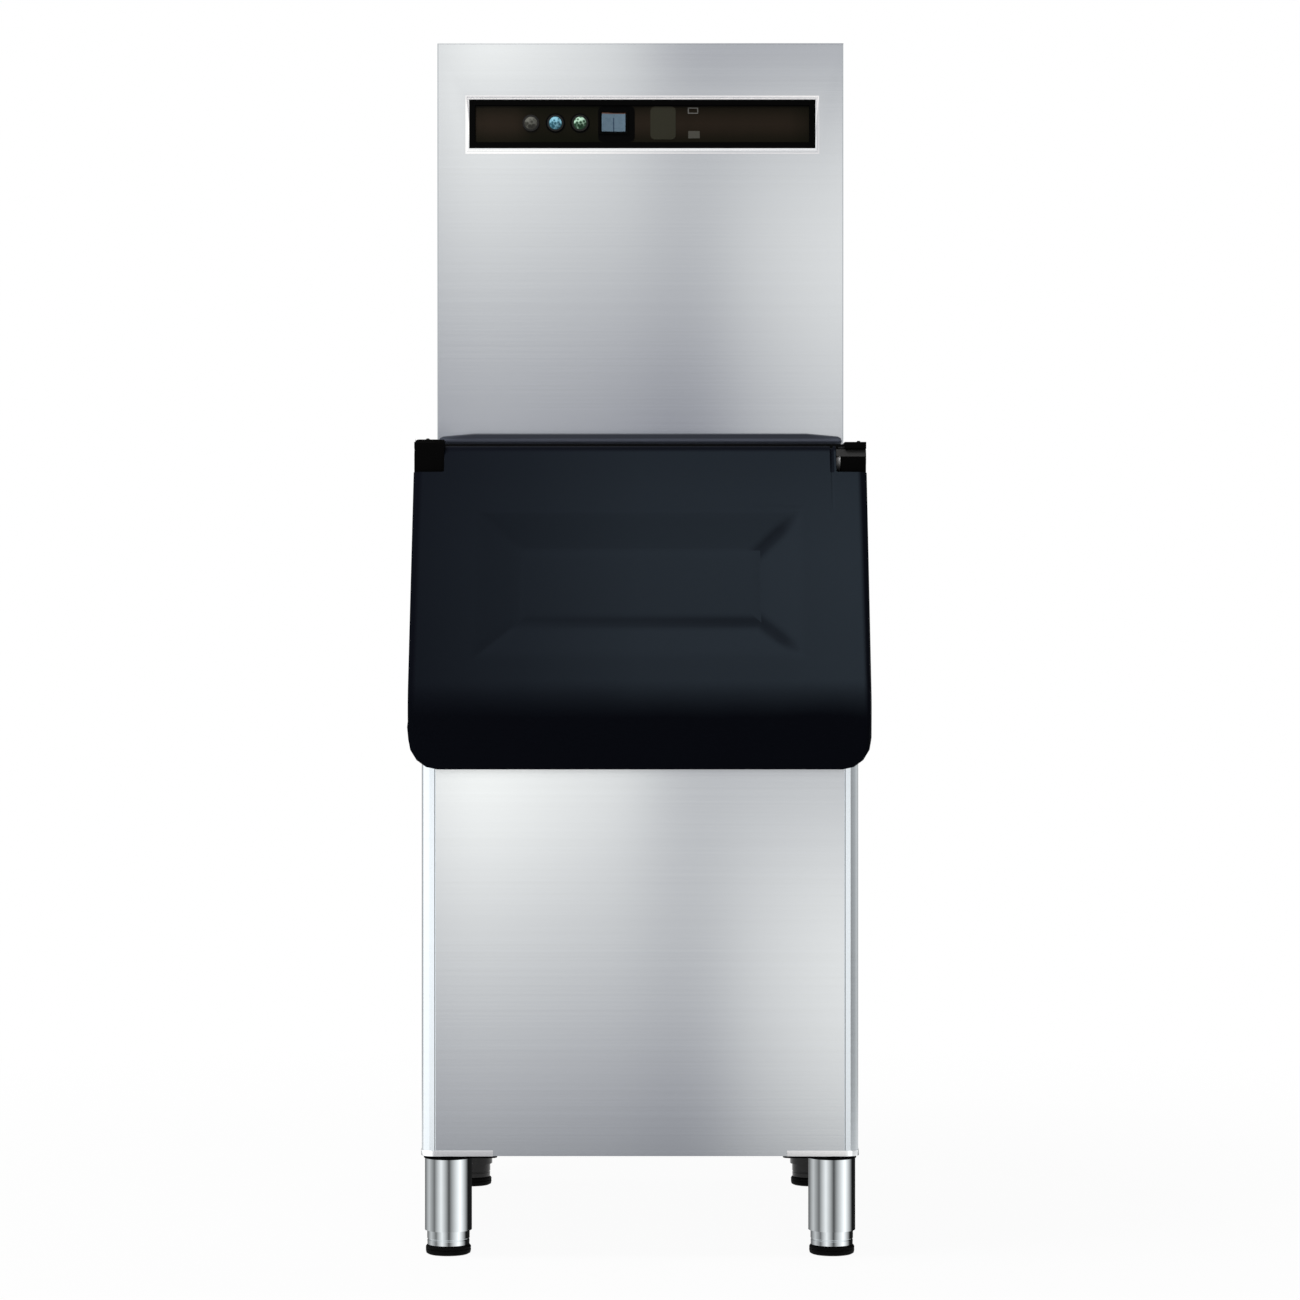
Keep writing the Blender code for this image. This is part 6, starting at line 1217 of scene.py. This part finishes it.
def reflection_ring(name, centre, radius, top_z, finish, steps=64):
    """An open tube, facing inwards, that only polished surfaces see."""
    bm = bmesh.new()
    made = bmesh.ops.create_circle(bm, segments=steps, radius=radius)
    bmesh.ops.translate(bm, vec=(*centre, 0.001), verts=made["verts"])
    made = bmesh.ops.extrude_edge_only(bm, edges=bm.edges[:])
    top = [item for item in made["geom"] if isinstance(item, bmesh.types.BMVert)]
    bmesh.ops.translate(bm, vec=(0, 0, top_z), verts=top)
    for face in bm.faces:
        inward = Vector((*centre, 0)) - face.calc_center_median()
        if face.normal.x * inward.x + face.normal.y * inward.y < 0:
            face.normal_flip()
    glossy_only(stage_mesh(name, bm, finish))


def glossy_only(thing):
    """Hides a thing of the studio from all but reflections."""
    thing.visible_camera = False
    thing.visible_diffuse = False
    thing.visible_transmission = False
    thing.visible_volume_scatter = False
    thing.visible_shadow = False
    for slot in thing.material_slots:
        slot.material.cycles.emission_sampling = "NONE"


def area_light(name, place, target, size, power):
    """A round lamp that reflections and the camera don't see."""
    data = bpy.data.lights.new(name, "AREA")
    data.shape = "DISK"
    data.size = size
    data.energy = power
    lamp = bpy.data.objects.new(name, data)
    lamp.location = place
    lamp.rotation_euler = (Vector(target) - Vector(place)).to_track_quat("-Z", "Y").to_euler()
    lamp.visible_camera = False
    lamp.visible_glossy = False
    bpy.context.scene.collection.objects.link(lamp)


def studio_world():
    """A weak even light that shows as white."""
    finish = Finish("studio", "worlds")
    ambient = finish.node("Background", sockets={"Color": grey(1.0), "Strength": 0.16})
    white = finish.node("Background", sockets={"Color": grey(1.0), "Strength": 1.0})
    mixed = finish.node("MixShader", sockets={0: finish.seen_directly(), 1: ambient, 2: white})
    bpy.context.scene.world = finish.close(mixed, "OutputWorld")


studio_floor()
studio_world()
reflection_sheet(
    "head_reflection", y=-1.0, span=(0.95, 2.25), drawn=(1.14, 1.80), rows=HEAD_ROWS, right_gain=1.0
)
reflection_sheet(
    "bin_reflection", y=-1.2, span=(0.005, 0.94), drawn=(0.03, 0.64), rows=BIN_ROWS, right_gain=1.25
)
reflection_floor()
strip_light("left_strip", x=-0.62, reach=(-1.19, -0.15), strength=1.7)
strip_light("right_strip", x=0.62, reach=(-1.19, -0.55), strength=1.5)
TENT_RADIUS, TENT_HEIGHT = 1.5, 2.6
TENT_RISE = ((0.0, 0.75), (0.4, 0.9), (0.9, 1.05))
TENT = (
    (-180, 0.80), (-140, 0.55), (-100, 1.0), (-58, 0.55), (-25, 0.95), (30, 0.85), (58, 0.50),
    (100, 1.0), (145, 0.60), (180, 0.80),
)
tent_finish = ring_finish("tent", (0, 0), TENT, TENT_RISE)
reflection_ring("tent", (0, 0), TENT_RADIUS, TENT_HEIGHT, tent_finish, 96)
LEG_GLOW_RADIUS, LEG_GLOW_HEIGHT = 0.07, 0.134
LEG_GLOW = (
    (-180, 0.15), (-120, 0.20), (-85, 0.62), (-54, 0.17), (-25, 1.0), (5, 0.07), (50, 1.3),
    (72, 0.55), (92, 0.01), (180, 0.02),
)
for side in ("left", "right"):
    leg = centre_of(f"foot_front_{side}")
    name, spot = f"leg_glow_{side}", (leg.x, leg.y)
    reflection_ring(name, spot, LEG_GLOW_RADIUS, LEG_GLOW_HEIGHT, ring_finish(name, spot, LEG_GLOW))
area_light("key", (-0.9, -0.9, 3.0), target=(0, -0.3, 0.9), size=1.2, power=72)
area_light("fill", (1.4, -3.6, 2.6), target=(0, -0.2, 0.8), size=2.4, power=16)
area_light("top", (0.0, 0.9, 3.6), target=(0, 0.1, 1.0), size=1.6, power=40)


# Camera
def camera():
    """Level, before the machine, as the photo was taken."""
    data = bpy.data.cameras.new("camera")
    data.lens = 104.5
    data.sensor_width = 36.0
    made = bpy.data.objects.new("camera", data)
    made.location = (0.0134, -5.4175, 0.815)
    made.rotation_euler = (math.pi / 2, 0, 0)
    bpy.context.scene.collection.objects.link(made)
    bpy.context.scene.camera = made


camera()
bpy.context.scene.view_settings.view_transform = "Standard"
